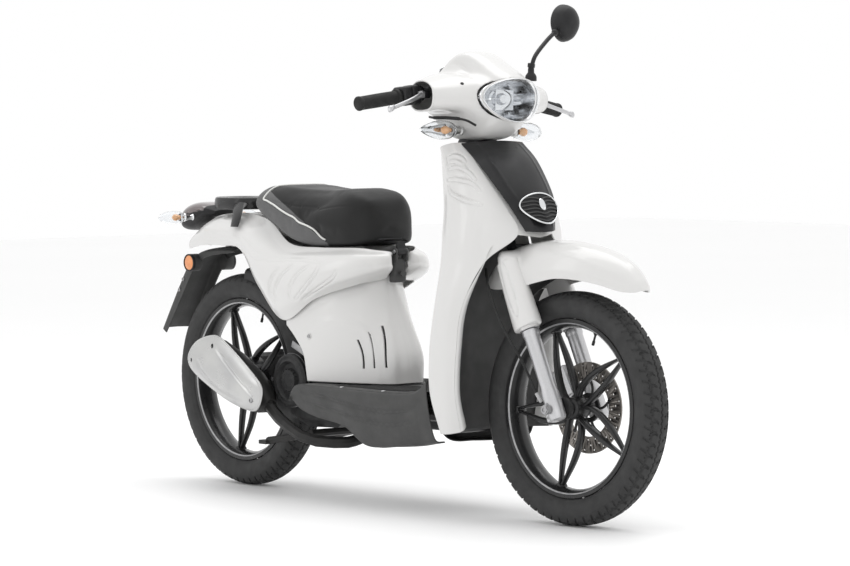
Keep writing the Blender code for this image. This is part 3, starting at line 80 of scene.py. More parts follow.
# ---------------------------------------------------------------- materials
class Shader:
    """A node material: Principled, with colour, roughness and bump driven by textures."""

    def __init__(self, name, color, roughness, metallic=0.0):
        self.mat = bpy.data.materials.new(name)
        self.mat.use_nodes = True
        self.tree = self.mat.node_tree
        self.bsdf = self.tree.nodes["Principled BSDF"]
        self.color = (*color, 1)
        self.set("Base Color", self.color)
        self.set("Roughness", roughness)
        self.set("Metallic", metallic)
        self.place = self.tree.nodes.new("ShaderNodeTexCoord").outputs["Object"]
        self.height = None

    def set(self, socket, value):
        self.bsdf.inputs[socket].default_value = value
        return self

    def texture(self, kind, scale, detail=3.0, stretch=(1, 1, 1)):
        """A noise or cell texture's value in the object's own coordinates."""
        place = self.place
        if stretch != (1, 1, 1):
            mapping = self.tree.nodes.new("ShaderNodeMapping")
            mapping.inputs["Scale"].default_value = stretch
            self.tree.links.new(place, mapping.inputs["Vector"])
            place = mapping.outputs["Vector"]
        node = self.tree.nodes.new({"noise": "ShaderNodeTexNoise", "cells": "ShaderNodeTexVoronoi"}[kind])
        node.inputs["Scale"].default_value = scale
        if kind == "noise":
            node.inputs["Detail"].default_value = detail
        self.tree.links.new(place, node.inputs["Vector"])
        return node.outputs["Fac" if kind == "noise" else "Distance"]

    def ramp(self, value, low, high):
        node = self.tree.nodes.new("ShaderNodeMapRange")
        node.inputs["From Min"].default_value = 0.3
        node.inputs["From Max"].default_value = 0.7
        node.inputs["To Min"].default_value = low
        node.inputs["To Max"].default_value = high
        self.tree.links.new(value, node.inputs["Value"])
        return node.outputs["Result"]

    def mottle(self, scale, other, amount=1.0, detail=4.0, stretch=(1, 1, 1)):
        """The base colour wanders between its own value and another."""
        mix = self.tree.nodes.new("ShaderNodeMix")
        mix.data_type = "RGBA"
        mix.inputs[6].default_value = self.color
        mix.inputs[7].default_value = (*other, 1)
        fac = self.ramp(self.texture("noise", scale, detail, stretch), 0.0, amount)
        self.tree.links.new(fac, mix.inputs["Factor"])
        self.tree.links.new(mix.outputs[2], self.bsdf.inputs["Base Color"])
        return self

    def smudge(self, scale, low, high):
        """Roughness wanders between two values."""
        value = self.ramp(self.texture("noise", scale, 5.0), low, high)
        self.tree.links.new(value, self.bsdf.inputs["Roughness"])
        return self

    def bump(self, kind, scale, depth, strength=1.0, detail=3.0, stretch=(1, 1, 1)):
        node = self.tree.nodes.new("ShaderNodeBump")
        node.inputs["Strength"].default_value = strength
        node.inputs["Distance"].default_value = depth
        self.tree.links.new(self.texture(kind, scale, detail, stretch), node.inputs["Height"])
        if self.height:
            self.tree.links.new(self.height, node.inputs["Normal"])
        self.height = node.outputs["Normal"]
        self.tree.links.new(self.height, self.bsdf.inputs["Normal"])
        return self

    def coat(self, weight, roughness=0.05):
        return self.set("Coat Weight", weight).set("Coat Roughness", roughness)


WHITE = Shader("gloss_white_paint", (0.665, 0.66, 0.65), 0.34).mottle(3.0, (0.645, 0.64, 0.63), 0.6)
WHITE.smudge(9, 0.29, 0.38).bump("noise", 260, 0.00005, 0.25).coat(0.6, 0.06)
BLACK = Shader("black_satin_plastic", (0.016, 0.016, 0.017), 0.42).mottle(30, (0.026, 0.026, 0.027))
BLACK.smudge(24, 0.36, 0.5).bump("noise", 1500, 0.00008, 0.5)
BLACK.set("Specular IOR Level", 0.25)
PANEL = Shader("black_panel_paint", (0.014, 0.014, 0.015), 0.36).mottle(18, (0.02, 0.02, 0.021))
PANEL.smudge(12, 0.32, 0.42).bump("noise", 900, 0.00005, 0.35).coat(0.06, 0.15)
PANEL.set("Specular IOR Level", 0.22)
DARK = Shader("dark_grey_grained_plastic", (0.052, 0.052, 0.052), 0.55).mottle(22, (0.070, 0.070, 0.069))
DARK.smudge(30, 0.48, 0.62).bump("cells", 900, 0.00015, 0.6)
DARK.set("Specular IOR Level", 0.25)
FRAME = Shader("satin_black_frame_paint", (0.02, 0.02, 0.02), 0.42).mottle(40, (0.03, 0.029, 0.028))
FRAME.smudge(30, 0.36, 0.52).bump("noise", 500, 0.0001, 0.4)
FRAME.set("Specular IOR Level", 0.25)
CAST = Shader("black_painted_casting", (0.022, 0.022, 0.023), 0.5, 0.3).mottle(60, (0.04, 0.04, 0.04))
CAST.smudge(50, 0.42, 0.6).bump("noise", 900, 0.0003, 0.7, 6.0)
CAST.set("Specular IOR Level", 0.30)
RAW = Shader("raw_cast_aluminium", (0.42, 0.42, 0.42), 0.42, 0.85).mottle(70, (0.30, 0.30, 0.31))
RAW.smudge(60, 0.35, 0.55).bump("noise", 1000, 0.0002, 0.6, 6.0)
SILVER = Shader("silver_paint", (0.52, 0.52, 0.53), 0.33, 0.75).mottle(400, (0.62, 0.62, 0.63), 0.7)
SILVER.smudge(26, 0.28, 0.4).bump("noise", 1200, 0.00004, 0.4).coat(0.4, 0.1)
STEEL = Shader("zinc_plated_steel", (0.46, 0.46, 0.46), 0.32, 1.0).mottle(55, (0.36, 0.36, 0.37))
STEEL.smudge(60, 0.24, 0.42).bump("noise", 700, 0.00006, 0.5)
CHROME = Shader("chrome", (0.78, 0.79, 0.80), 0.07, 1.0).mottle(12, (0.72, 0.73, 0.74))
CHROME.smudge(25, 0.05, 0.11)
REFLECTOR = Shader("reflector_chrome", (0.80, 0.81, 0.82), 0.10, 1.0).mottle(20, (0.66, 0.67, 0.69))
REFLECTOR.bump("cells", 32, 0.003, 0.28).smudge(40, 0.06, 0.16)
HEAT = Shader("satin_steel_heat_shield", (0.56, 0.56, 0.55), 0.27, 0.95).mottle(14, (0.48, 0.48, 0.48))
HEAT.smudge(18, 0.24, 0.36).bump("noise", 40, 0.0004, 0.3, 5.0, (1, 1, 9))
DISC = Shader("ground_brake_disc", (0.20, 0.185, 0.17), 0.35, 0.9).mottle(60, (0.28, 0.26, 0.24))
DISC.smudge(80, 0.28, 0.45).bump("noise", 500, 0.00008, 0.5)
WHEEL = Shader("gloss_black_wheel_paint", (0.012, 0.012, 0.013), 0.28).mottle(25, (0.018, 0.018, 0.018))
WHEEL.smudge(20, 0.24, 0.34).bump("noise", 350, 0.00005, 0.3).coat(0.2, 0.08)
WHEEL.set("Specular IOR Level", 0.30)
TYRE = Shader("tyre_rubber", (0.026, 0.026, 0.0262), 0.60).mottle(45, (0.036, 0.036, 0.036))
TYRE.smudge(35, 0.55, 0.72).bump("noise", 900, 0.00015, 0.6, 5.0)
TYRE.set("Specular IOR Level", 0.35)
RUBBER = Shader("ribbed_grip_rubber", (0.018, 0.018, 0.018), 0.6).mottle(80, (0.026, 0.026, 0.026))
RUBBER.smudge(60, 0.52, 0.68).bump("cells", 1400, 0.00012, 0.5)
RUBBER.set("Specular IOR Level", 0.20)
VINYL = Shader("black_seat_vinyl", (0.011, 0.011, 0.011), 0.40).mottle(12, (0.016, 0.016, 0.016))
VINYL.smudge(14, 0.38, 0.5).bump("cells", 700, 0.0002, 0.5).bump("noise", 60, 0.0006, 0.2)
VINYL.set("Specular IOR Level", 0.24)
GREY_VINYL = Shader("grey_textured_seat_vinyl", (0.075, 0.075, 0.076), 0.6).mottle(700,
    (0.12, 0.12, 0.12))
GREY_VINYL.smudge(40, 0.52, 0.7).bump("cells", 420, 0.0004, 0.8)
PIPING = Shader("pale_seat_piping", (0.72, 0.72, 0.70), 0.5).mottle(150, (0.62, 0.62, 0.6))
PIPING.bump("noise", 1200, 0.0001, 0.5)
GLASSY = Shader("clear_moulded_lens", (0.96, 0.97, 0.98), 0.04).set("Transmission Weight", 1.0)
GLASSY.set("IOR", 1.22).bump("noise", 40, 0.0002, 0.15).smudge(30, 0.02, 0.07)
FLUTED = Shader("clear_fluted_lens", (0.95, 0.96, 0.97), 0.05).set("Transmission Weight", 1.0)
FLUTED.set("IOR", 1.18).bump("noise", 300, 0.0006, 0.4, 1.0, (0.05, 1, 1)).smudge(30, 0.03, 0.08)
SMOKED = Shader("smoked_tail_lens", (0.10, 0.085, 0.085), 0.12).mottle(20, (0.16, 0.13, 0.13))
SMOKED.smudge(20, 0.08, 0.18).coat(0.8, 0.04)
AMBER = Shader("amber_bulb_glass", (0.80, 0.40, 0.17), 0.18).mottle(60, (0.85, 0.50, 0.27))
AMBER.coat(0.6, 0.05).bump("noise", 300, 0.0002, 0.3)
ORANGE = Shader("orange_reflector", (0.72, 0.24, 0.07), 0.3).mottle(90, (0.85, 0.34, 0.12))
ORANGE.bump("cells", 450, 0.0004, 0.8).coat(0.7, 0.06)
MIRROR_GLASS = Shader("mirror_glass", (0.80, 0.82, 0.83), 0.03, 1.0).mottle(8, (0.77, 0.79, 0.80))
MIRROR_GLASS.smudge(20, 0.02, 0.05)
DIAL = Shader("dial_face", (0.03, 0.03, 0.035), 0.3).mottle(60, (0.045, 0.045, 0.05)).coat(0.7, 0.03)
CABLE = Shader("cable_sheath", (0.015, 0.015, 0.015), 0.5).mottle(90, (0.024, 0.024, 0.024))
CABLE.bump("noise", 1500, 0.0001, 0.4)
CABLE.set("Specular IOR Level", 0.25)
FLOOR = Shader("pale_studio_floor", (0.965, 0.965, 0.965), 0.6).mottle(0.7, (0.975, 0.975, 0.975))


# ---------------------------------------------------------------- shapes
def mesh_object(name, verts, faces, angle=40):
    mesh = bpy.data.meshes.new(name)
    mesh.from_pydata([tuple(v) for v in verts], [], faces)
    mesh.validate()
    return shade(bpy.data.objects.new(name, mesh), angle)


def shade(obj, angle=40):
    obj.data.shade_smooth()
    obj.data.set_sharp_from_angle(angle=radians(angle))
    return obj


def finish(name, bm, angle=40):
    mesh = bpy.data.meshes.new(name)
    bm.to_mesh(mesh)
    bm.free()
    return shade(bpy.data.objects.new(name, mesh), angle)


def smooth(points, count):
    """Points read at equal steps from a Catmull-Rom curve through the given points."""
    p = np.array([tuple(q) for q in points], float)
    ends = np.vstack([2 * p[:1] - p[1:2], p, 2 * p[-1:] - p[-2:-1]])
    t = np.linspace(0, len(p) - 1, count)
    i = np.minimum(t.astype(int), len(p) - 2)
    u = (t - i)[:, None]
    a, b, c, d = ends[i], ends[i + 1], ends[i + 2], ends[i + 3]
    return 0.5 * (2 * b + (c - a) * u + (2 * a - 5 * b + 4 * c - d) * u ** 2 + (3 * b - a - 3 * c + d)
        * u ** 3)


def ring_smooth(points, count):
    """The same round a closed ring."""
    p = [tuple(q) for q in points]
    span = len(p)
    wide = smooth(p[-2:] + p + p[:3], (span + 4) * 200 + 1)
    return wide[400:400 + span * 200][np.arange(count) * span * 200 // count]


def weave(net, rows, columns):
    """A fine grid of points from a coarse net, smooth both ways."""
    across = np.array([smooth(line, columns) for line in net])
    return np.stack([smooth(across[:, c], rows) for c in range(columns)], axis=1)


def grid_faces(rows, columns, loop=False, skip=None, start=0):
    faces = []
    for r in range(rows - 1):
        for c in range(columns if loop else columns - 1):
            if skip and skip(r, c):
                continue
            d = (c + 1) % columns
            faces.append((start + r * columns + c, start + r * columns + d, start + (r + 1) * columns + d,
                start + (r + 1) * columns + c))
    return faces


def sheet(name, grid, inside, thickness=0.003, mirror=False, loop=False, skip=None, rim=0.0, angle=50):
    """A shell whose outer skin is a grid of points; inside is a point behind it."""
    grid = np.asarray(grid, float)
    rows, columns = grid.shape[:2]
    bm = bmesh.new()
    verts = [bm.verts.new(p) for p in grid.reshape(-1, 3)]
    for f in grid_faces(rows, columns, loop, skip):
        bm.faces.new([verts[i] for i in f])
    bmesh.ops.delete(bm, geom=[v for v in bm.verts if not v.link_faces], context="VERTS")
    bmesh.ops.recalc_face_normals(bm, faces=bm.faces)
    bm.normal_update()
    inside = Vector(inside)
    if sum((f.calc_center_median() - inside).dot(f.normal) * f.calc_area() for f in bm.faces) < 0:
        bmesh.ops.reverse_faces(bm, faces=bm.faces)
    obj = finish(name, bm, angle)
    if mirror:
        mod = obj.modifiers.new("mirror", "MIRROR")
        mod.use_axis = (False, True, False)
        mod.use_mirror_merge = True
        mod.merge_threshold = 0.0001
    mod = obj.modifiers.new("thickness", "SOLIDIFY")
    mod.thickness = thickness
    mod.offset = -1
    if rim:
        edge(obj, rim)
    return obj


def edge(obj, width=0.0008, segments=2, angle=35):
    """Rounded edges."""
    mod = obj.modifiers.new("edges", "BEVEL")
    mod.width = width
    mod.segments = segments
    mod.limit_method = "ANGLE"
    mod.angle_limit = radians(angle)
    mod.harden_normals = False
    return obj


def loft(name, rings, cap=True, angle=40):
    """A solid through rings of equal length."""
    rings = np.array([[tuple(p) for p in ring] for ring in rings], float)
    rows, columns = rings.shape[:2]
    faces = grid_faces(rows, columns, True)
    if cap:
        faces += [tuple(range(columns))[::-1], tuple(range((rows - 1) * columns, rows * columns))]
    obj = mesh_object(name, rings.reshape(-1, 3), faces, angle)
    bm = bmesh.new()
    bm.from_mesh(obj.data)
    bmesh.ops.recalc_face_normals(bm, faces=bm.faces)
    bm.to_mesh(obj.data)
    bm.free()
    return shade(obj, angle)


def fine_loft(name, rings, rows, columns, cap=True, angle=40):
    """A loft read more finely both round its rings and along them."""
    dense = np.array([ring_smooth(ring, columns) for ring in rings])
    along = np.stack([smooth(dense[:, c], rows) for c in range(columns)], axis=1)
    return loft(name, along, cap, angle)


def aim(direction):
    return Vector((0, 0, 1)).rotation_difference(Vector(direction)).to_matrix().to_4x4()


def turned(name, profile, origin, direction, steps=48, closed=False, angle=35):
    """A profile of (radius, height) points turned about an axis."""
    verts, faces, rows = [], [], []
    for r, h in profile:
        if r < 1e-6:
            rows.append([len(verts)])
            verts.append((0, 0, h))
        else:
            rows.append(list(range(len(verts), len(verts) + steps)))
            verts += [(r * cos(2 * pi * k / steps), r * sin(2 * pi * k / steps), h) for k in range(steps)]
    pairs = list(zip(rows, rows[1:])) + ([(rows[-1], rows[0])] if closed else [])
    for low, high in pairs:
        for k in range(steps):
            j = (k + 1) % steps
            a = [low[k % len(low)], low[j % len(low)], high[j % len(high)], high[k % len(high)]]
            face = list(dict.fromkeys(a))
            if len(face) > 2:
                faces.append(face)
    obj = mesh_object(name, verts, faces, angle)
    bm = bmesh.new()
    bm.from_mesh(obj.data)
    bmesh.ops.recalc_face_normals(bm, faces=bm.faces)
    bm.to_mesh(obj.data)
    bm.free()
    shade(obj, angle)
    obj.data.transform(Matrix.Translation(Vector(origin)) @ aim(direction))
    return obj


def rod(name, start, end, radius, tip=None, steps=28, round_off=0.0008):
    """A round bar with rounded end edges."""
    start, end = Vector(start), Vector(end)
    long, tip = (end - start).length, radius if tip is None else tip
    b = min(round_off, radius * 0.4, tip * 0.4 if tip else round_off, long * 0.3)
    profile = [(0, 0), (radius - b, 0), (radius - 0.3 * b, 0.3 * b), (radius, b), (tip, long - b),
        (tip - 0.3 * b, long - 0.3 * b), (tip - b, long), (0, long)]
    return turned(name, profile, start, end - start, steps)


def block(name, low, high, turn=None, bevel=0.002, segments=3):
    low, high = Vector(low), Vector(high)
    bm = bmesh.new()
    bmesh.ops.create_cube(bm, size=1)
    bmesh.ops.scale(bm, vec=high - low, verts=bm.verts)
    if bevel:
        bmesh.ops.bevel(bm, geom=list(bm.edges), offset=bevel, segments=segments, profile=0.5,
            affect="EDGES")
    obj = finish(name, bm, 30)
    obj.data.transform(Matrix.Translation((low + high) / 2) @ (turn or Matrix()))
    return obj


def tube(name, points, radius, sides=12, closed=False, radii=None, angle=60):
    """A round tube along points, with no twist."""
    pts = [Vector(p) for p in points]
    count = len(pts)
    rings, normal = [], None
    for k, p in enumerate(pts):
        a = pts[(k - 1) % count] if closed or k else p
        b = pts[(k + 1) % count] if closed or k < count - 1 else p
        ahead = (b - a).normalized()
        if normal is None:
            normal = ahead.orthogonal().normalized()
        normal = (normal - ahead * normal.dot(ahead)).normalized()
        other = ahead.cross(normal)
        r = radii[k] if radii else radius
        rings.append([p + (normal * cos(2 * pi * i / sides) + other * sin(2 * pi * i / sides)) * r
            for i in range(sides)])
    if closed:
        rings.append(rings[0])
    obj = loft(name, rings, not closed, angle)
    if closed:
        bm = bmesh.new()
        bm.from_mesh(obj.data)
        bmesh.ops.remove_doubles(bm, verts=bm.verts, dist=1e-7)
        bmesh.ops.recalc_face_normals(bm, faces=bm.faces)
        bm.to_mesh(obj.data)
        bm.free()
        shade(obj, angle)
    return obj


def oval(centre, across, up, count, squash=1.0):
    """A ring of points round a centre; squash above 1 squares it off."""
    ring = []
    for k in range(count):
        c, s = cos(2 * pi * k / count), sin(2 * pi * k / count)
        c = abs(c) ** (1 / squash) * (1 if c > 0 else -1)
        s = abs(s) ** (1 / squash) * (1 if s > 0 else -1)
        ring.append(Vector(centre) + c * Vector(across) + s * Vector(up))
    return ring


def link(obj):
    if not obj.users_collection:
        bpy.context.scene.collection.objects.link(obj)
    return obj


def bake(obj):
    """Make the modifiers' result the object's own mesh."""
    link(obj)
    bpy.context.view_layer.update()
    evaluated = obj.evaluated_get(bpy.context.evaluated_depsgraph_get())
    mesh = bpy.data.meshes.new_from_object(evaluated)
    obj.modifiers.clear()
    obj.data = mesh
    return obj


def combine(obj, operation, *tools):
    """Cut tools out of an object, or join them to it, and make the result its mesh."""
    link(obj)
    for tool in tools:
        link(bake(tool))
        mod = obj.modifiers.new("tool", "BOOLEAN")
        mod.operation = operation
        mod.object = tool
        mod.solver = "EXACT"
    bake(obj)
    for tool in tools:
        bpy.data.objects.remove(tool, do_unlink=True)
    return obj


def cut(obj, *tools):
    return combine(obj, "DIFFERENCE", *tools)


def gather(name, *objs):
    """Several closed solids in one mesh."""
    bm = bmesh.new()
    for o in objs:
        bake(o)
        bm.from_mesh(o.data)
        bpy.data.objects.remove(o, do_unlink=True)
    return finish(name, bm)


def press(obj, line, width, depth, taper=True):
    """A soft groove (depth above 0) or ridge along a line that lies on the surface."""
    line = smooth(line, 60)
    mesh = obj.data
    co = np.empty(len(mesh.vertices) * 3)
    mesh.vertices.foreach_get("co", co)
    co = co.reshape(-1, 3)
    normal = np.array([v.normal for v in mesh.vertices])
    gap = np.linalg.norm(co[:, None] - line[None], axis=2)
    nearest = gap.argmin(axis=1)
    share = nearest / (len(line) - 1)
    fade = np.sin(pi * np.clip(share, 0.0, 1.0)) ** 0.5 if taper else 1.0
    push = depth * np.exp(-(gap.min(axis=1) / width) ** 2) * fade
    mesh.vertices.foreach_set("co", (co - normal * push[:, None]).ravel())
    mesh.update()
    return obj


def on_skin(obj, points, lift=0.0):
    """The points moved to the nearest place on an object's surface."""
    link(obj)
    bpy.context.view_layer.update()
    tree = BVHTree.FromObject(obj, bpy.context.evaluated_depsgraph_get())
    out = []
    for p in points:
        spot, normal, _, _ = tree.find_nearest(Vector(p))
        out.append(spot + normal * lift)
    return out


MADE = []


def place(obj, body, shader, slot, *nodes):
    """Give a finished piece its body, its material and the CAD nodes that it stands for."""
    bake(obj)
    obj.data.transform(AHEAD if body in UNSTEERED_BODIES else STEERED)
    obj.data.materials.clear()
    shaders = shader if isinstance(shader, (list, tuple)) else [shader]
    for s in shaders:
        obj.data.materials.append(s.mat)
    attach(obj, body)
    if nodes:
        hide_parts(*nodes)
    MADE.append(obj)
    return obj


def bolt(name, spot, direction, radius=0.005, tall=0.004, hexagon=True):
    """A hexagon or round-headed screw with a socket in its head."""
    spot, direction = Vector(spot), Vector(direction).normalized()
    steps = 6 if hexagon else 24
    profile = [(0, tall * 0.55), (radius * 0.45, tall * 0.55), (radius * 0.5, tall),
        (radius * 0.86, tall), (radius, tall * 0.75), (radius, 0), (0, 0)]
    head = turned(name, profile, spot, direction, steps, angle=20)
    return head


# ---------------------------------------------------------------- wheels
TREAD_PERIODS = 62
TREAD_DEPTH = 0.0034
TYRE_STEPS = 1080


def tread(turn, y):
    """How deep the tread is cut, from 0 to 1, at a turn (in periods) and a distance from the middle."""
    v = np.abs(y) / 0.037
    zigzag = 2 * np.abs((turn * 2) % 1 - 0.5) - 0.5
    middle = np.abs(y - 0.0045 * zigzag) < 0.0016
    slant = (turn + np.where(y > 0, 0.5, 0.0) - 0.9 * v) % 1
    lateral = (slant < 0.20) & (v > 0.22) & (v < 1.0)
    half = (turn + np.where(y > 0, 0.5, 0.0) + 0.55 * v + 0.35) % 1
    short = (half < 0.18) & (v > 0.36) & (v < 0.80)
    belt = (np.abs(v - 0.66 - 0.05 * zigzag) < 0.045)
    return np.where(middle | lateral | short | belt, 1.0, 0.0)


def tyre(name, centre, body, node):
    outer = [(0.2080, 0.0262), (0.2120, 0.0310), (0.2230, 0.0372), (0.2380, 0.0398), (0.2500, 0.0380),
        (0.2590, 0.0325), (0.2655, 0.0235), (0.2690, 0.0120), (0.2700, 0.0)]
    outer += [(r, -y) for r, y in outer[-2::-1]]
    skin = smooth([(r, y, 0) for r, y in outer], 97)[:, :2]
    ridge = 0.0007 * (np.exp(-((skin[:, 0] - 0.2195) / 0.0011) ** 2) + np.exp(-((skin[:, 0] - 0.2475)
        / 0.0010) ** 2))
    inner = [(0.2080, -0.0225), (0.2360, -0.0335), (0.2580, -0.0200), (0.2600, 0.0), (0.2580, 0.0200),
        (0.2360, 0.0335), (0.2080, 0.0225)]
    turn = np.arange(TYRE_STEPS) / TYRE_STEPS
    ring = []
    for (r, y), lift in zip(skin, ridge):
        depth = tread(turn * TREAD_PERIODS, y) * TREAD_DEPTH * (1.0 if abs(y) < 0.0385 and r > 0.2475
            else 0.0)
        ring.append((r - depth, np.full(TYRE_STEPS, y + (lift if y > 0 else -lift))))
    ring += [(np.full(TYRE_STEPS, r), np.full(TYRE_STEPS, y)) for r, y in inner]
    a = 2 * pi * turn
    verts = np.stack([np.stack([r * np.cos(a), y, r * np.sin(a)], 1) for r, y in ring])
    rows = len(ring)
    faces = grid_faces(rows, TYRE_STEPS, True)
    faces += [((rows - 1) * TYRE_STEPS + c, (rows - 1) * TYRE_STEPS + (c + 1) % TYRE_STEPS,
        (c + 1) % TYRE_STEPS, c) for c in range(TYRE_STEPS)]
    obj = mesh_object(name, verts.reshape(-1, 3) + np.array(centre), faces, 45)
    bm = bmesh.new()
    bm.from_mesh(obj.data)
    bmesh.ops.recalc_face_normals(bm, faces=bm.faces)
    bm.to_mesh(obj.data)
    bm.free()
    return place(shade(obj, 45), body, TYRE, "tyre_rubber", node)


SPOKE_TURN = radians(112)
CURVED_BLADE = ((0.026, 40), (0.050, 34), (0.080, 22.5), (0.115, 13.0), (0.150, 6.0), (0.189, 0.8))
STRAIGHT_BLADE = ((0.026, -28), (0.050, -16), (0.080, -10.0), (0.115, -6.0), (0.150, -3.0), (0.189, -0.7))


def blade(name, centre, tip, shape, hub_r):
    """One leaf-shaped spoke: rounded, widest near its middle, meeting its twin at the rim."""
    rings = []
    centres = []
    for r, spread in shape:
        r = max(r, hub_r - 0.006) if r < 0.04 else r
        a = tip + radians(spread)
        centres.append(Vector((r * cos(a), 0, r * sin(a))))
    line = [Vector(p) for p in smooth(centres, 20)]
    for k, p in enumerate(line):
        ahead = (line[min(k + 1, 19)] - line[max(k - 1, 0)]).normalized()
        across = ahead.cross(SIDE)
        t = k / 19
        wide = 0.0040 + 0.0030 * max(0.0, sin(pi * min(1, t * 1.15))) ** 0.8 - 0.0006 * t
        deep = 0.0105 - 0.003 * t
        rings.append(oval(centre + p, across * wide, SIDE * deep, 16, 1.45))
    return loft(name, rings, angle=60)


def rim(name, centre, body, node, hub):
    centre = Vector(centre)
    profile = [(0.2060, 0.0285), (0.2072, 0.0270), (0.2060, 0.0250), (0.2000, 0.0215), (0.1985, 0.0150),
        (0.1975, 0.0), (0.1985, -0.0150), (0.2000, -0.0215), (0.2060, -0.0250), (0.2072, -0.0270),
        (0.2060, -0.0285), (0.1960, -0.0285), (0.1940, -0.0265), (0.1905, -0.0200), (0.1870, -0.0130),
        (0.1858, -0.0060), (0.1855, 0.0), (0.1858, 0.0060), (0.1870, 0.0130), (0.1905, 0.0200),
        (0.1940, 0.0265), (0.1960, 0.0285)]
    parts = [turned(name, profile, centre, SIDE, 160, True, 40)]
    for k in range(5):
        tip = SPOKE_TURN + 2 * pi * k / 5
        parts.append(blade(f"{name}_a{k}", centre, tip, CURVED_BLADE, hub[0]))
        parts.append(blade(f"{name}_b{k}", centre, tip, STRAIGHT_BLADE, hub[0]))
    r, half = hub
    profile = [(0.0068, half), (r * 0.55, half), (r * 0.62, half - 0.003), (r * 0.66, half - 0.010),
        (r * 0.90, half - 0.013), (r, half - 0.018), (r, -half + 0.018), (r * 0.90, -half + 0.013),
        (r * 0.66, -half + 0.010), (r * 0.62, -half + 0.003), (r * 0.55, -half), (0.0068, -half)]
    parts.append(turned(name + "_hub", profile, centre, SIDE, 64, True, 40))
    for k in range(5):
        a = SPOKE_TURN + 2 * pi * k / 5
        out = Vector((cos(a), 0, sin(a)))
        parts.append(rod(f"{name}_web{k}", centre + out * (RIM_HOLE_R + 0.0045) - SIDE * 0.012,
            centre + out * (RIM_HOLE_R + 0.0045) + SIDE * 0.012, 0.0095))
    place(gather(name, *parts), body, WHEEL, "wheel_paint", node)
    for s, word in ((1, "left"), (-1, "right")):
        lip = turned(f"{name}_lip_{word}", [(0.1972, 0.0284), (0.1972, 0.0289), (0.1950, 0.0284),
            (0.1938, 0.0268), (0.1945, 0.0264)], centre, SIDE * s, 160, True, 50)
        place(lip, body, RAW, "wheel_paint")
    a = SPOKE_TURN - radians(40)
    out = Vector((cos(a), 0, sin(a)))
    root = centre + out * 0.1885
    stem = [(0, 0.034), (0.0032, 0.034), (0.0036, 0.032), (0.0036, 0.024), (0.0026, 0.023),
        (0.0026, 0.010), (0.0055, 0.006), (0.0060, 0.0), (0, 0)]
    place(turned(name + "_valve", stem, root, -out, 20), body, CABLE, "wheel_paint")


def brake_disc():
    """The drilled disc on its five-armed carrier."""
    ring = turned("disc", [(0.106, 0.0413), (0.106, 0.0373), (0.0665, 0.0373), (0.0665, 0.0413)],
        FRONT_AXLE, SIDE, 120, True, 30)
    holes = []
    for k in range(60):
        a = 2 * pi * k / 60
        r = (0.0740, 0.0865, 0.0985)[k % 3]
        spot = FRONT_AXLE + Vector((r * cos(a), 0, r * sin(a)))
        holes.append(turned(f"hole{k}", [(0, 0.05), (0.0028, 0.05), (0.0028, 0.03), (0, 0.03)], spot,
            SIDE, 12))
    cut(ring, gather("disc_holes", *holes))
    place(ring, "front_wheel", DISC, "steel", "brake_disc")
    arms = [turned("disc_carrier", [(0.0230, 0.0425), (0.0345, 0.0425), (0.0345, 0.0375),
        (0.0230, 0.0375)], FRONT_AXLE, SIDE, 60, True)]
    for k in range(5):
        a = SPOKE_TURN + radians(30) + 2 * pi * k / 5
        line = [FRONT_AXLE + Vector((r * cos(a + b), 0.0393, r * sin(a + b))) for r,
            b in ((0.030, 0.0), (0.048, 0.12), (0.0695, 0.32))]
        arms.append(tube(f"arm{k}", smooth(line, 10), 0.0032, 10))
        arms.append(rod(f"stud{k}", line[-1] - SIDE * 0.0028, line[-1] + SIDE * 0.0022, 0.0050))
    place(gather("brake_disc_carrier", *arms), "front_wheel", WHEEL, "steel")


# ---------------------------------------------------------------- fork and fender
FENDER = ((0.840, 0.5495, 0.5475, 0.006), (0.836, 0.557, 0.5465, 0.015), (0.824, 0.576, 0.543, 0.027),
    (0.792, 0.606, 0.545, 0.041), (0.740, 0.631, 0.558, 0.056), (0.680, 0.647, 0.567, 0.066),
    (0.614, 0.655, 0.568, 0.071), (0.550, 0.655, 0.556, 0.072), (0.500, 0.650, 0.544, 0.070),
    (0.440, 0.637, 0.538, 0.060), (0.392, 0.612, 0.536, 0.047), (0.362, 0.580, 0.540, 0.034))
COVER = ((0.628, 0.003, 0.003), (0.622, 0.016, 0.013), (0.612, 0.0240, 0.0205), (0.590, 0.0305, 0.0252),
    (0.520, 0.0358, 0.0270), (0.460, 0.0385, 0.0280))


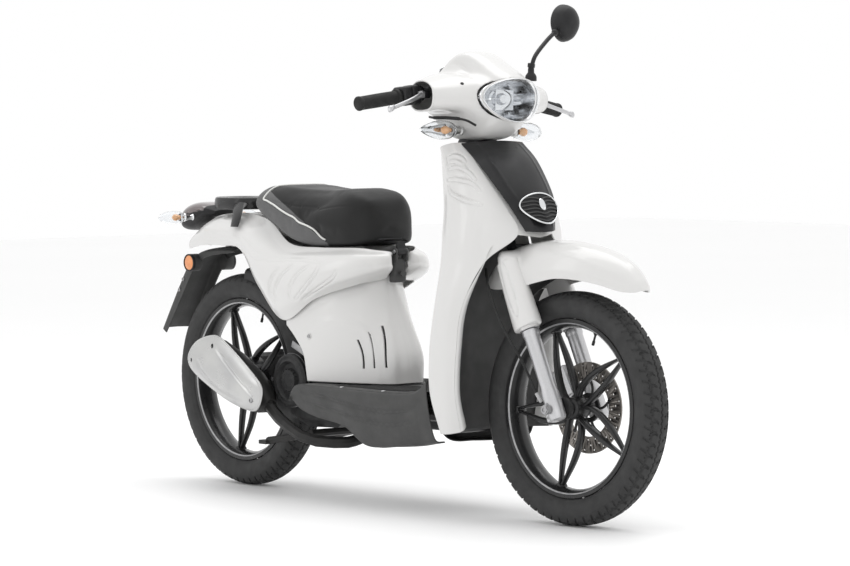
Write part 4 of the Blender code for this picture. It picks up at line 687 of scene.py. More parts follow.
def front_fender():
    net = []
    for x, top, low, half in FENDER:
        tall = top - low
        net.append([(x, 0, top), (x, half * 0.50, top - 0.09 * tall), (x, half * 0.86, top - 0.36 * tall),
            (x, half, top - 0.72 * tall), (x, half * 0.99, low)])
    grid = weave(net, 181, 41)
    # each fork leg pushes a rounded bulge out of the fender's side
    ahead = (grid[..., 0] - (HALF_BASE - (grid[..., 2] - WHEEL_R) * tan(RAKE))) * STEER_FORE.x
    heights = [c[0] for c in COVER][::-1]
    wide = np.interp(grid[..., 2], heights, [c[1] for c in COVER][::-1])
    deep = np.interp(grid[..., 2], heights, [c[2] for c in COVER][::-1])
    bulge = FORK_HALF + 0.0025 + deep * (1 - (ahead / np.maximum(wide, 0.004)) ** 2)
    bulge = np.where(grid[..., 2] > 0.628, -1.0, np.maximum(bulge, -1.0))
    sharp = 0.004
    y = grid[..., 1]
    grid[..., 1] = np.where(y > 0.03, sharp * np.log(np.exp(y / sharp) + np.exp(np.clip(bulge, -0.2, 0.2)
        / sharp)), y)
    obj = sheet("fender_shell", grid, (0.60, 0, 0.50), 0.0028, mirror=True)
    bake(obj)
    press(obj, [(0.575, -0.066, 0.632), (0.690, -0.0600, 0.612), (0.800, -0.036, 0.580)], 0.006, -0.0012)
    press(obj, [(0.575, 0.066, 0.632), (0.690, 0.0600, 0.612), (0.800, 0.036, 0.580)], 0.006, -0.0012)
    covers = []
    for s in (-1, 1):
        rings = []
        for z, w, d, out in ((0.600, 0.0290, 0.0245, 0.0025), (0.560, 0.0330, 0.0262, 0.0025),
                (0.520, 0.0360, 0.0270, 0.0025), (0.480, 0.0380, 0.0278, 0.0025),
                (0.462, 0.0386, 0.0280, 0.0025), (0.4560, 0.0382, 0.0276, 0.0025),
                (0.4535, 0.0350, 0.0262, 0.0020), (0.4535, 0.0242, 0.0236, 0.0004),
                (0.4600, 0.0234, 0.0232, 0), (0.592, 0.0234, 0.0232, 0)):
            rings.append(oval(fork_at(z, s * (FORK_HALF + out)), STEER_FORE * w, SIDE * d, 48))
        cover = fine_loft(f"cover{s}", rings, 110, 72, angle=60)
        inset = []
        for k in range(25):
            a = 2 * pi * k / 24
            inset.append(fork_at(0.540 + 0.062 * sin(a), s * FORK_HALF) + STEER_FORE * 0.0165 * cos(a)
                + SIDE * s * 0.040)
        press(cover, on_skin(cover, inset), 0.0024, 0.0030, False)
        covers.append(cover)
    stem_room = rod("stem_room", steer_at(0.60), steer_at(0.72), 0.029, steps=48)
    cut(obj, stem_room)
    place(gather("front_fender_skin", obj, *covers), "steering", WHITE, "white_paint", "front_fender")
    collar = []
    for s in (-1, 1):
        spot = fork_at(0.4475, s * FORK_HALF)
        collar.append(turned("collar", [(0.0150, 0.014), (0.0200, 0.014), (0.0215, 0.012),
            (0.0215, 0.003), (0.0200, 0.0), (0.0150, 0.0)], spot, STEER_AXIS, 48, True))
    place(gather("fork_dust_seals", *collar), "sliders", SILVER, "silver_paint")


def inner_mudguard():
    rows = []
    for k in range(43):
        a = radians(74 + 56 * k / 42)
        out = Vector((cos(a), 0, sin(a)))
        rows.append(smooth([FRONT_AXLE + out * (0.334 + lift) + Vector((0, y, 0)) for y,
            lift in ((0.0440, -0.018), (0.0425, -0.002), (0.024, 0.001), (0, 0.002))], 19))
    obj = sheet("inner_mudguard_skin", rows, FRONT_AXLE, 0.0025, mirror=True)
    place(obj, "steering", DARK, "black_plastic", "inner_mudguard")


def fork_sliders():
    """Both fork legs with their bolts, the axle's nuts and the speedometer drive."""
    for s, word in ((1, "left"), (-1, "right")):
        foot = fork_at(0.246, s * FORK_HALF)
        tall = (fork_at(0.446) - fork_at(0.246)).length
        profile = [(0, 0.060), (0.0145, 0.060), (0.0145, tall), (0.0195, tall), (0.0205, tall - 0.001),
            (0.0205, tall - 0.011), (0.0196, tall - 0.013), (0.0186, tall - 0.017), (0.0184, 0.085),
            (0.0190, 0.080), (0.0205, 0.066), (0.0207, 0.030), (0.0200, 0.006), (0.0170, 0.001),
            (0.012, 0), (0, 0)]
        leg = turned("leg", profile, foot, STEER_AXIS, 56)
        cut(leg, rod("axle_hole", fork_at(WHEEL_R, s * 0.04), fork_at(WHEEL_R, s * 0.1), 0.0065))
        pinch = block("pinch", (-0.0075, -0.012, 0.004), (0.0075, 0.012, 0.022), None, 0.002)
        pinch.data.transform(Matrix.Translation(foot + STEER_FORE * -0.0175) @ aim(STEER_AXIS))
        place(gather(f"fork_leg_{word}", leg, pinch), "sliders", SILVER, "silver_paint",
            "fork_slider_" + word)
        screw = [bolt("pinch_bolt", foot + STEER_AXIS * 0.013 + STEER_FORE * -0.0175 + SIDE * s * 0.0115,
            SIDE * s, 0.004, 0.003), bolt("drain_bolt", foot + STEER_AXIS * 0.040 + SIDE * s * 0.0200,
            SIDE * s, 0.0035, 0.0025)]
        place(gather(f"fork_screws_{word}", *screw), "sliders", STEEL, "steel")
    nut = [bolt(f"nut{s}", fork_at(WHEEL_R, s * 0.1040), SIDE * s, 0.0105, 0.0045) for s in (-1, 1)]
    washer = [rod(f"washer{s}", fork_at(WHEEL_R, s * 0.0925), fork_at(WHEEL_R, s * 0.1042), 0.0115)
        for s in (-1, 1)]
    place(gather("axle_nuts", *nut, *washer), "sliders", STEEL, "steel")
    drive = rod("drive", fork_at(WHEEL_R, -0.0480), fork_at(WHEEL_R, -0.0370), 0.026)
    place(drive, "sliders", CAST, "engine_cast")


# ---------------------------------------------------------------- handlebar, levers and mirror
def bar_point(y):
    return Vector((0.2355 - 0.0465 * abs(y), y, 1.0130 - 0.155 * abs(y)))


def bar_out(side):
    return (bar_point(0.3 * side) - bar_point(0.2 * side)).normalized()


def grips():
    """Rubber grips, switch housings and lever clamps on both ends of the bar."""
    for side, word, body, node in ((1, "left", "steering", "grip_left"), (-1, "right", "throttle",
            "throttle_grip")):
        start, out = bar_point(0.2075 * side), bar_out(side)
        long = (bar_point(0.329 * side) - start).length
        profile = [(0, long), (0.0135, long), (0.0150, long - 0.0015), (0.0168, long - 0.003),
            (0.0172, long - 0.006), (0.0168, long - 0.009), (0.0158, long - 0.011)]
        ribs = 26
        for k in range(ribs):
            h = long - 0.014 - (long - 0.026) * k / (ribs - 1)
            swell = 0.0003 * sin(pi * k / (ribs - 1))
            profile += [(0.0155 + swell, h), (0.0161 + swell, h - 0.0008), (0.0161 + swell, h - 0.0018),
                (0.0155 + swell, h - 0.0026)]
        profile += [(0.0160, 0.0085), (0.0190, 0.0075), (0.0195, 0.0060), (0.0195, 0.0012), (0.0185, 0),
            (0.0115, 0), (0.0115, long - 0.005), (0, long - 0.005)]
        place(turned(f"{word}_grip_rubber", profile, start, out, 56, angle=50), body, RUBBER,
            "grip_rubber", node)
        middle = bar_point(0.178 * side)
        turn = Matrix.Translation(middle) @ aim(out)
        halves = []
        for s in (-1, 1):
            half = block(f"case{s}", (-0.0225, -0.0225, s * 0.0131 - 0.0127),
                (0.0225, 0.0225, s * 0.0131 + 0.0127), None, 0.0062, 4)
            half.data.transform(turn)
            halves.append(half)
        case = gather(f"switch_case_{word}", *halves)
        press_at = middle + Vector((-0.0213, 0, 0.0085))
        cut(case, rod("bore", bar_point(0.12 * side), bar_point(0.22 * side), 0.0114),
            rod("pocket", press_at - Vector((0.004, 0, 0)), press_at + Vector((0.009, 0, 0)), 0.0062))
        place(case, "steering", BLACK, "black_plastic", "switchgear_" + word)
        clamp = turned("clamp", [(0.0116, 0.010), (0.0180, 0.010), (0.0190, 0.009), (0.0190, -0.009),
            (0.0180, -0.010), (0.0116, -0.010)], bar_point(0.148 * side), out, 40, True)
        perch = block("perch", (0.004, -0.010, -0.010), (0.036, 0.010, 0.008), None, 0.003)
        perch.data.transform(Matrix.Translation(bar_point(0.150 * side)) @ Matrix.Rotation(side * -0.05,
            4, "Z"))
        place(gather(f"lever_perch_{word}", clamp, perch), "steering", BLACK, "black_plastic")


def levers():
    for side, word in ((1, "left"), (-1, "right")):
        root = bar_point(0.165 * side) + Vector((0.0335, 0, 0.0))
        path = [root, root + Vector((0.011, side * 0.016, -0.003)), Vector((0.285, side * 0.215, 0.975)),
            Vector((0.294, side * 0.260, 0.962)), Vector((0.300, side * 0.302, 0.950))]
        line = smooth(path, 49)
        rings = []
        for k, p in enumerate(line):
            t = k / 48
            ahead = Vector(line[min(k + 1, 48)] - line[max(k - 1, 0)])
            across = ahead.cross(Vector((0, 0, 1))).normalized()
            wide = 0.0078 - 0.0026 * min(1, t * 1.6) - 0.0006 * max(0, t - 0.6)
            if t > 0.9:
                wide = 0.0050 + 0.0028 * sin(pi * (t - 0.9) / 0.1 * 0.75) if t < 0.995 else 0.0042
            rings.append(oval(p, across * wide * (0.62 if t < 0.9 else 0.9), (0, 0, wide), 20, 1.15))
        blade_ = loft(f"lever{word}", rings, angle=60)
        boss = rod("boss", root - Vector((0, 0, 0.0075)), root + Vector((0, 0, 0.0075)), 0.0085)
        place(gather(f"brake_lever_blade_{word}", blade_, boss), "brake_lever_" + word, SILVER,
            "silver_paint", "brake_lever_" + word)
        pin = bolt("pin", root + Vector((0, 0, 0.0075)), (0, 0, 1), 0.0042, 0.002)
        place(gather(f"lever_pin_{word}", pin), "brake_lever_" + word, STEEL, "steel")


MIRROR_FOOT = Vector((0.305, 0.150, 1.0300))
MIRROR_BALL = Vector((0.281, 0.252, 1.148))


def mirror():
    """The mirror's stem, ball, shell and glass."""
    path = smooth([MIRROR_FOOT + Vector((0, 0, 0.004)), (0.304, 0.152, 1.056), (0.300, 0.168, 1.088),
        (0.290, 0.213, 1.124), MIRROR_BALL - Vector((0, 0.002, 0.001))], 40)
    stem = tube("stem", path, 0.0052, 20)
    boot = turned("boot", [(0, 0.034), (0.0062, 0.034), (0.0075, 0.026), (0.0078, 0.018), (0.0125, 0.012),
        (0.0140, 0.007), (0.0140, -0.001), (0.0128, -0.002), (0, -0.002)], MIRROR_FOOT, (0, 0, 1), 36)
    nut = turned("nut", [(0, 0.010), (0.0085, 0.010), (0.0092, 0.009), (0.0092, 0.001), (0.0085, 0),
        (0, 0)], MIRROR_FOOT + Vector((0, 0, 0.030)), (0, 0.15, 1), 6, angle=20)
    ball = turned("ball", [(0.0085 * sin(pi * k / 10), -0.0085 * cos(pi * k / 10)) for k in range(11)],
        MIRROR_BALL, (0, 1, 0), 24)
    place(gather("mirror_arm", stem, boot, nut, ball), "mirror_stem", BLACK, "black_plastic",
        "mirror_stem")
    middle = Vector((0.272, 0.296, 1.172))
    rings = []
    for x, size in ((0.0270, 0.10), (0.0265, 0.30), (0.0240, 0.52), (0.0190, 0.74), (0.0110, 0.90),
            (0.0020, 0.975), (-0.0060, 1.0), (-0.0095, 1.0), (-0.0108, 0.985), (-0.0108, 0.945),
            (-0.0082, 0.935)):
        ring = []
        for k in range(64):
            a = 2 * pi * k / 64
            egg = 1 + 0.07 * sin(a) + 0.03 * cos(2 * a)
            ring.append(middle + Vector((x, 0.0393 * size * cos(a) * egg, 0.0455 * size * sin(a))))
        rings.append(ring)
    place(loft("mirror_shell", rings, angle=50), "mirror_head", BLACK, "black_plastic", "mirror_head")
    glass = []
    for x, size in ((-0.0086, 0.93), (-0.0100, 0.925), (-0.0106, 0.60), (-0.0108, 0.2)):
        glass.append([middle + Vector((x, 0.0393 * size * cos(2 * pi * k / 64)
            * (1 + 0.07 * sin(2 * pi * k / 64) + 0.03 * cos(4 * pi * k / 64)),
            0.0455 * size * sin(2 * pi * k / 64))) for k in range(64)])
    place(loft("mirror_glass_plate", glass, angle=30), "mirror_head", MIRROR_GLASS, "chrome")


# ---------------------------------------------------------------- headset
def cowl_net():
    middle = [(0.300, 0.884), (0.352, 0.892), (0.390, 0.912), (0.417, 0.945), (0.426, 0.985),
        (0.410, 1.028), (0.350, 1.066), (0.290, 1.092), (0.234, 1.087), (0.203, 1.058), (0.196, 1.010),
        (0.208, 0.950), (0.226, 0.898), (0.256, 0.884)]
    near = [(0.300, 0.885), (0.346, 0.893), (0.382, 0.914), (0.409, 0.946), (0.418, 0.985),
        (0.401, 1.028), (0.344, 1.062), (0.290, 1.086), (0.238, 1.080), (0.206, 1.050), (0.195, 1.006),
        (0.207, 0.950), (0.226, 0.900), (0.256, 0.886)]
    mid = [(0.300, 0.901), (0.335, 0.908), (0.364, 0.926), (0.390, 0.952), (0.399, 0.985), (0.382, 1.018),
        (0.333, 1.036), (0.279, 1.044), (0.225, 1.042), (0.198, 1.032), (0.195, 0.998), (0.204, 0.953),
        (0.225, 0.915), (0.258, 0.902)]
    outer = [(0.296, 0.943), (0.325, 0.946), (0.345, 0.953), (0.358, 0.967), (0.360, 0.988),
        (0.347, 1.012), (0.315, 1.030), (0.272, 1.037), (0.230, 1.034), (0.203, 1.018), (0.193, 0.992),
        (0.200, 0.965), (0.224, 0.949), (0.260, 0.943)]
    end = [(0.284, 0.950), (0.305, 0.953), (0.319, 0.960), (0.325, 0.972), (0.326, 0.988), (0.319, 1.004),
        (0.297, 1.016), (0.265, 1.021), (0.234, 1.018), (0.210, 1.005), (0.199, 0.985), (0.205, 0.966),
        (0.226, 0.953), (0.257, 0.949)]
    rows = [[(x, y, z) for x, z in ring] for y, ring in ((0, middle), (0.040, near), (0.063, mid),
        (0.112, outer))]
    rows.append([(x, 0.145 + (x - 0.20) * 0.33, z) for x, z in end])
    return rows


def almond(scale, x, count=96):
    """The headlight's outline, pointed at both sides, on a curved front face."""
    ring = []
    for k in range(count):
        a = 2 * pi * k / count
        y = 0.090 * cos(a)
        tall = 0.0475 if sin(a) > 0 else 0.053
        z = 0.981 + tall * sin(a) * (1 - 0.06 * cos(a) ** 2) + 0.005 * cos(a) ** 2
        ring.append(Vector((x - 2.9 * (y * scale) ** 2, y * scale, 0.981 + (z - 0.981) * scale)))
    return ring


def headset():
    """The cowl round the handlebar, open at the lamp, the dial and both ends."""
    rings = [ring_smooth(ring, 120) for ring in cowl_net()]
    # mirrored neighbour first, so that the shell runs smoothly through the middle
    across = [rings[1] * (1, -1, 1)] + rings
    grid = np.stack([smooth([r[c] for r in across], 121)[24:] for c in range(120)], axis=1)
    grid[0, :, 1] = 0
    obj = sheet("cowl_shell", grid, (0.28, 0, 0.98), 0.003, mirror=True, loop=True)
    bake(obj)
    spot = Vector(on_skin(obj, [(0.352, -0.118, 1.024)])[0])
    plug = turned("plug", [(0, 0.0020), (0.0028, 0.0020), (0.0042, 0.0008), (0.0042, -0.003),
        (0, -0.003)], spot, (0.60, -0.35, 0.72), 28)
    place(gather("cowl_plug", plug), "steering", BLACK, "black_plastic")
    collar = turned("collar", [(0.030, 0.026), (0.046, 0.026), (0.047, 0.020), (0.043, 0.0),
        (0.030, 0.0)], steer_at(0.868), STEER_AXIS, 64, True)
    place(gather("headset_neck", collar), "steering", BLACK, "black_plastic")
    for s in (-1, 1):
        press(obj, on_skin(obj, [(0.235, s * 0.075, 1.080), (0.280, s * 0.070, 1.062),
            (0.335, s * 0.074, 1.045), (0.380, s * 0.080, 1.018)]), 0.007, 0.0022)
        press(obj, on_skin(obj, [(0.235, s * 0.050, 1.090), (0.290, s * 0.052, 1.084),
            (0.345, s * 0.058, 1.058)]), 0.009, -0.0016)
    lamp = loft("lamp", [almond(1.03, 0.506), almond(1.03, 0.378)])
    tools = [lamp, rod("neck", steer_at(0.85), steer_at(0.905), 0.034, steps=48),
        rod("socket", MIRROR_FOOT - Vector((0, 0, 0.040)), MIRROR_FOOT, 0.0075)]
    dash = loft("dash", [oval((x, 0, 1.045), (0, 0.050, 0), (0, 0, 0.0165), 48, 1.7)
        for x in (0.160, 0.222)])
    cut(obj, *tools, dash)
    place(obj, "steering", WHITE, "white_paint", "headset_cowl")
    # a rolled edge round the lamp and round each opening for the bar
    for name, scale, x, radius, shader in (("lamp_gasket", 1.020, 0.4140, 0.0022, WHITE),
            ("lamp_bezel", 0.992, 0.4165, 0.0017, CHROME)):
        place(tube(name, almond(scale, x, 128), radius, 10, True), "steering", shader,
            "white_paint" if shader is WHITE else "chrome")
    for s, word in ((1, "left"), (-1, "right")):
        end = ring_smooth([(x, s * (0.1445 + (x - 0.20) * 0.33), z) for x, _, z in cowl_net()[4]], 96)
        middle = end.mean(axis=0)
        lip = middle + (end - middle) * 0.975
        place(tube(f"cowl_lip_{word}", lip, 0.0024, 10, True), "steering", WHITE, "white_paint")


def lamp_and_lights():
    """The headlight's bowl and glass, the dial and both front indicators."""
    bowl = [almond(s, x) for s, x in ((0.06, 0.312), (0.20, 0.313), (0.40, 0.319), (0.60, 0.331),
        (0.78, 0.348), (0.90, 0.368), (0.965, 0.391), (0.985, 0.406), (0.955, 0.408), (0.93, 0.391),
        (0.86, 0.368), (0.74, 0.346), (0.56, 0.328), (0.36, 0.317), (0.18, 0.3105), (0.05, 0.3095))]
    place(loft("headlight_bowl", bowl, angle=50), "steering", REFLECTOR, "chrome", "headlight_reflector")
    shade_ = turned("shade", [(0, 0.030), (0.010, 0.030), (0.0135, 0.026), (0.0150, 0.004), (0.0190, 0.0),
        (0.0190, -0.003), (0, -0.003)], (0.338, 0, 0.981), (1, 0, 0), 40)
    frame_ = block("lamp_box", (0.352, -0.014, 0.955), (0.3560, 0.044, 1.004), None, 0.0015)
    place(gather("headlight_bulb_shade", shade_, frame_), "steering", CHROME, "chrome")
    glass = [almond(s, x) for s, x in ((0.10, 0.4332), (0.35, 0.4328), (0.60, 0.4310), (0.80, 0.4265),
        (0.93, 0.4195), (0.985, 0.4120), (0.990, 0.4160), (0.945, 0.4225), (0.82, 0.4300), (0.62, 0.4340),
        (0.36, 0.4356), (0.10, 0.4360))]
    place(loft("headlight_glass", glass, angle=50), "steering", GLASSY, "clear_lens", "headlight_lens")
    dial = fine_loft("dial", [oval((x, 0, z), (0, wide, 0), (0.004, 0, tall), 24, 1.6) for x, z, wide,
        tall in ((0.206, 1.044, 0.047, 0.0135), (0.200, 1.0447, 0.047, 0.0135),
        (0.193, 1.046, 0.044, 0.0120), (0.192, 1.046, 0.038, 0.0095))], 12, 64)
    place(dial, "steering", DIAL, "black_plastic", "instrument_dial")
    bezel = tube("dial_bezel", [Vector((0.1930, 0, 1.0458)) + v for v in oval((0, 0, 0), (0, 0.0435, 0),
        (0.001, 0, 0.0118), 96, 1.6)], 0.0014, 8, True)
    place(bezel, "steering", CHROME, "chrome")
    for s, word in ((1, "left"), (-1, "right")):
        rings = []
        for y, radius, x in ((0.1010, 0.010, 0.3030), (0.106, 0.0165, 0.304), (0.114, 0.0215, 0.3055),
                (0.126, 0.0253, 0.307), (0.145, 0.0265, 0.306), (0.160, 0.0235, 0.3035),
                (0.174, 0.0180, 0.3005), (0.186, 0.0110, 0.2965), (0.1935, 0.0045, 0.2925),
                (0.1950, 0.001, 0.291)):
            rings.append(oval((x, s * y, 0.9060), (radius * 1.1, 0, 0), (0, 0, radius * 0.86), 40))
        skin = loft("skin", rings, angle=60)
        hollow = []
        for y, radius, x in ((0.1085, 0.0120, 0.304), (0.116, 0.0195, 0.3055), (0.127, 0.0232, 0.307),
                (0.145, 0.0245, 0.306), (0.160, 0.0215, 0.3035), (0.174, 0.0160, 0.3005),
                (0.185, 0.0090, 0.2965)):
            hollow.append(oval((x, s * y, 0.9060), (radius * 1.1, 0, 0), (0, 0, radius * 0.86), 40))
        cut(skin, loft("hollow", hollow, angle=60))
        place(skin, "steering", FLUTED, "clear_lens", "front_indicator_" + word)
        socket = turned("socket", [(0, 0.030), (0.0095, 0.030), (0.0128, 0.0265), (0.0115, 0.016),
            (0.0085, 0.012), (0.0085, 0.002), (0.0120, 0.0), (0.0120, -0.003), (0, -0.003)],
            (0.3005, s * 0.0775, 0.9060), (0.03, s * 1.0, 0), 32)
        place(gather(f"indicator_socket_{word}", socket), "steering", HEAT, "silver_paint")
        bulb = turned("bulb", [(0, 0.026), (0.0050, 0.0252), (0.0088, 0.0215), (0.0102, 0.0160),
            (0.0092, 0.0100), (0.0062, 0.0040), (0.0060, 0.0), (0, 0)], (0.3045, s * 0.1120, 0.9060),
            (0.0, s * 1.0, 0), 28, angle=60)
        place(gather(f"indicator_bulb_{word}", bulb), "steering", AMBER, "clear_lens")
        back = fine_loft("back", [[Vector((0.3045 - 0.0160 - 0.006 * t, s * (0.112 + 0.072 * t), 0.906))
            + Vector((0.0035 * cos(2 * pi * k / 16), 0, (0.0165 - 0.0135 * t) * sin(2 * pi * k / 16)))
            for k in range(16)] for t in (0, 0.35, 0.7, 1)], 16, 32)
        place(gather(f"indicator_backing_{word}", back), "steering", CHROME, "chrome")


def cables():
    hose = [(0.262, -0.138, 0.936), (0.292, -0.150, 0.934), (0.330, -0.140, 0.934),
        (0.352, -0.110, 0.930), (0.358, -0.080, 0.918)]
    sleeve = tube("sleeve", smooth(hose, 60)[14:40], 0.0040, 14)
    hose = tube("hose", smooth(hose, 60), 0.0028, 14)
    place(gather("brake_hose_skin", hose, sleeve), "steering", CABLE, "grip_rubber", "brake_hose")
    drive = fork_at(0.305, -FORK_HALF) + Vector((-0.030, -0.016, 0))
    run = [drive, drive + Vector((-0.035, -0.012, 0.070)), (0.486, -0.110, 0.460), (0.437, -0.105, 0.540),
        (0.405, -0.085, 0.585)]
    place(tube("speedometer_cable_skin", smooth(run, 90), 0.0030, 14), "steering", CABLE, "grip_rubber",
        "speedometer_cable")
    nut = rod("cable_nut", drive - Vector((-0.012, -0.006, 0.020)), drive, 0.0048, 0.0040, 6)
    place(gather("speedometer_cable_nut", nut), "sliders", STEEL, "steel")


# ---------------------------------------------------------------- front bodywork
def shield_net():
    return [[(0.240, 0.078, 0.858), (0.262, 0.096, 0.871), (0.303, 0.098, 0.8795), (0.334, 0.0865, 0.881),
        (0.345, 0.0, 0.873)], [(0.272, 0.100, 0.800), (0.318, 0.118, 0.800), (0.374, 0.111, 0.800),
        (0.408, 0.082, 0.800), (0.425, 0.0, 0.800)], [(0.300, 0.120, 0.730), (0.348, 0.134, 0.730),
        (0.418, 0.119, 0.730), (0.462, 0.066, 0.730), (0.478, 0.0, 0.730)],
        [(0.311, 0.134, 0.672), (0.358, 0.146, 0.672), (0.430, 0.130, 0.672), (0.487, 0.053, 0.668),
        (0.508, 0.0, 0.661)], [(0.317, 0.145, 0.600), (0.358, 0.153, 0.600), (0.410, 0.146, 0.602),
        (0.4490, 0.122, 0.606), None], [(0.311, 0.160, 0.500), (0.342, 0.166, 0.500),
        (0.372, 0.163, 0.500), (0.394, 0.146, 0.500), None], [(0.3035, 0.170, 0.400),
        (0.332, 0.173, 0.400), (0.362, 0.169, 0.400), (0.384, 0.156, 0.400), None],
        [(0.306, 0.172, 0.300), (0.332, 0.175, 0.300), (0.360, 0.171, 0.300), (0.379, 0.157, 0.300),
        None], [(0.330, 0.160, 0.202), (0.345, 0.163, 0.202), (0.366, 0.158, 0.204),
        (0.382, 0.142, 0.208), None]]


def front_shield():
    net = shield_net()
    step, wide, deep = 34, 73, 21
    flank = weave([line[:4] for line in net], 8 * step + 1, wide)
    crown = weave([[line[3], (line[3][0] * 0.35 + line[4][0] * 0.65, line[3][1] / 2,
        (line[3][2] + line[4][2]) / 2), line[4]] for line in net[:4]], 3 * step + 1, deep)
    grid = np.zeros((8 * step + 1, wide + deep - 1, 3))
    grid[:, :wide] = flank
    grid[:3 * step + 1, wide:] = crown[:, 1:]
    obj = sheet("front_shield_skin", grid, (0.25, 0, 0.6), 0.003, mirror=True, angle=60, skip=lambda r,
        c: r >= 3 * step and c >= wide - 1)
    bake(obj)
    grooves = (((0.290, 0.846), (0.320, 0.856), (0.350, 0.858), (0.372, 0.851)),
        ((0.295, 0.836), (0.325, 0.843), (0.352, 0.841), (0.371, 0.832)), ((0.304, 0.820), (0.340, 0.829),
        (0.380, 0.825), (0.418, 0.811)), ((0.303, 0.794), (0.345, 0.797), (0.395, 0.794), (0.436, 0.783)),
        ((0.314, 0.780), (0.338, 0.762), (0.382, 0.747), (0.440, 0.742)))
    for s in (-1, 1):
        for line in grooves:
            press(obj, on_skin(obj, [(x, s * 0.12, z) for x, z in line]), 0.0048, 0.0075)
    lips = []
    for s in (-1, 1):
        rows = []
        for line in net[3:]:
            x, y, z = line[3]
            if z > 0.65:
                x, y = 0.4600, 0.090
            up = 0.020 if z < 0.25 else 0.0
            reach = 0.12 if z > 0.59 else 1.0
            rows.append([(x + ahead * reach, s * (y - inward * reach), z + up * share) for ahead, inward,
                share in ((-0.002, 0, 0), (0.0025, 0.007, 0.2), (-0.001, 0.017, 0.5),
                (-0.012, 0.026, 0.8), (-0.026, 0.034, 1.0))])
        lips.append(sheet(f"lip{s}", weave(rows, 121, 17), (0.20, 0, 0.45), 0.0025))
    place(gather("front_shield_skin", obj, *lips), "chassis", WHITE, "white_paint", "front_shield")


def front_panel():
    net = [[(0.334, 0.094, 0.880), (0.352, 0.050, 0.883), (0.357, 0, 0.885)],
        [(0.392, 0.092, 0.835), (0.414, 0.050, 0.835), (0.421, 0, 0.835)], [(0.460, 0.078, 0.762),
        (0.478, 0.042, 0.762), (0.485, 0, 0.762)], [(0.484, 0.064, 0.722), (0.502, 0.035, 0.720),
        (0.508, 0, 0.720)], [(0.506, 0.046, 0.676), (0.522, 0.025, 0.675), (0.527, 0, 0.675)]]
    full = [line + [(x, -y, z) for x, y, z in line[-2::-1]] for line in net]
    obj = sheet("front_panel_skin", weave(full, 121, 91), (0.30, 0, 0.75), 0.004, angle=60)
    bake(obj)
    for s in (-1, 1):
        press(obj, on_skin(obj, [(0.362, s * 0.066, 0.878), (0.420, s * 0.066, 0.836),
            (0.470, s * 0.058, 0.772), (0.500, s * 0.040, 0.722), (0.518, s * 0.030, 0.690)]), 0.005,
            -0.0016, False)
    arch = [(0.380, s * y, z) for s, y, z in ((-1, 0.050, 0.884), (-1, 0.036, 0.862), (-1, 0.018, 0.852),
        (1, 0.018, 0.852), (1, 0.036, 0.862), (1, 0.050, 0.884))]
    press(obj, on_skin(obj, arch), 0.0032, -0.0014)
    edge(obj, 0.0012)
    place(obj, "chassis", PANEL, "black_plastic", "front_panel")


def grille():
    """A bright rounded-triangle ring round wavy slats, with a plain oval in the middle."""
    fore, up = Vector((0.8917, 0, 0.4527)), Vector((-0.4527, 0, 0.8917))
    middle = Vector((0.5040, 0, 0.7285))

    def at(y, z, depth):
        return middle + fore * (depth - 4.4 * y * y) + up * z + Vector((0, y, 0))

    def outline(size, depth, count=96):
        ring = []
        for k in range(count):
            a = 2 * pi * k / count
            y = size * 0.056 * cos(a) * (1 + 0.20 * sin(a))
            z = size * (0.034 * sin(a) - (0.011 if sin(a) < 0 else 0) * sin(a) ** 2)
            ring.append(at(y, z, depth))
        return ring

    place(tube("grille_ring", outline(0.985, 0.0118), 0.0021, 12, True), "chassis", CHROME, "chrome",
        "grille")
    back = loft("back", [outline(s, d) for s, d in ((0.97, 0.0088), (0.97, 0.0100), (0.5, 0.0100),
        (0.1, 0.0100))])
    place(gather("grille_back", back), "chassis", BLACK, "black_plastic")
    slats = []
    for k in range(7):
        z0 = 0.024 - 0.0093 * k
        line = []
        for j in range(33):
            y = -1 + j / 16
            room = slat_room(z0)
            yy = y * room
            dip = -0.006 * np.exp(-(yy / 0.014) ** 2)
            line.append(at(yy, z0 + dip, 0.0118))
        slats.append(tube(f"slat{k}", line, 0.0016, 8))
    place(gather("grille_slats", *slats), "chassis", DARK, "black_plastic")
    badge = loft("badge", [[at(0.0085 * s * cos(2 * pi * k / 48), 0.004 + 0.0150 * s
        * sin(2 * pi * k / 48), d) for k in range(48)] for s, d in ((1.0, 0.0105), (1.0, 0.0135),
        (0.90, 0.0145), (0.80, 0.0145), (0.76, 0.0140), (0.5, 0.0146), (0.15, 0.0149))])
    place(gather("grille_badge", badge), "chassis", CHROME, "chrome")


def slat_room(z):
    """Half the grille's width at a height above its middle."""
    best = 0.0
    for k in range(200):
        a = 2 * pi * k / 200
        zz = 0.034 * sin(a) - (0.011 if sin(a) < 0 else 0) * sin(a) ** 2
        if abs(zz - z + 0.001) < 0.0018:
            best = max(best, 0.056 * cos(a) * (1 + 0.20 * sin(a)))
    return best * 0.93 + 0.001


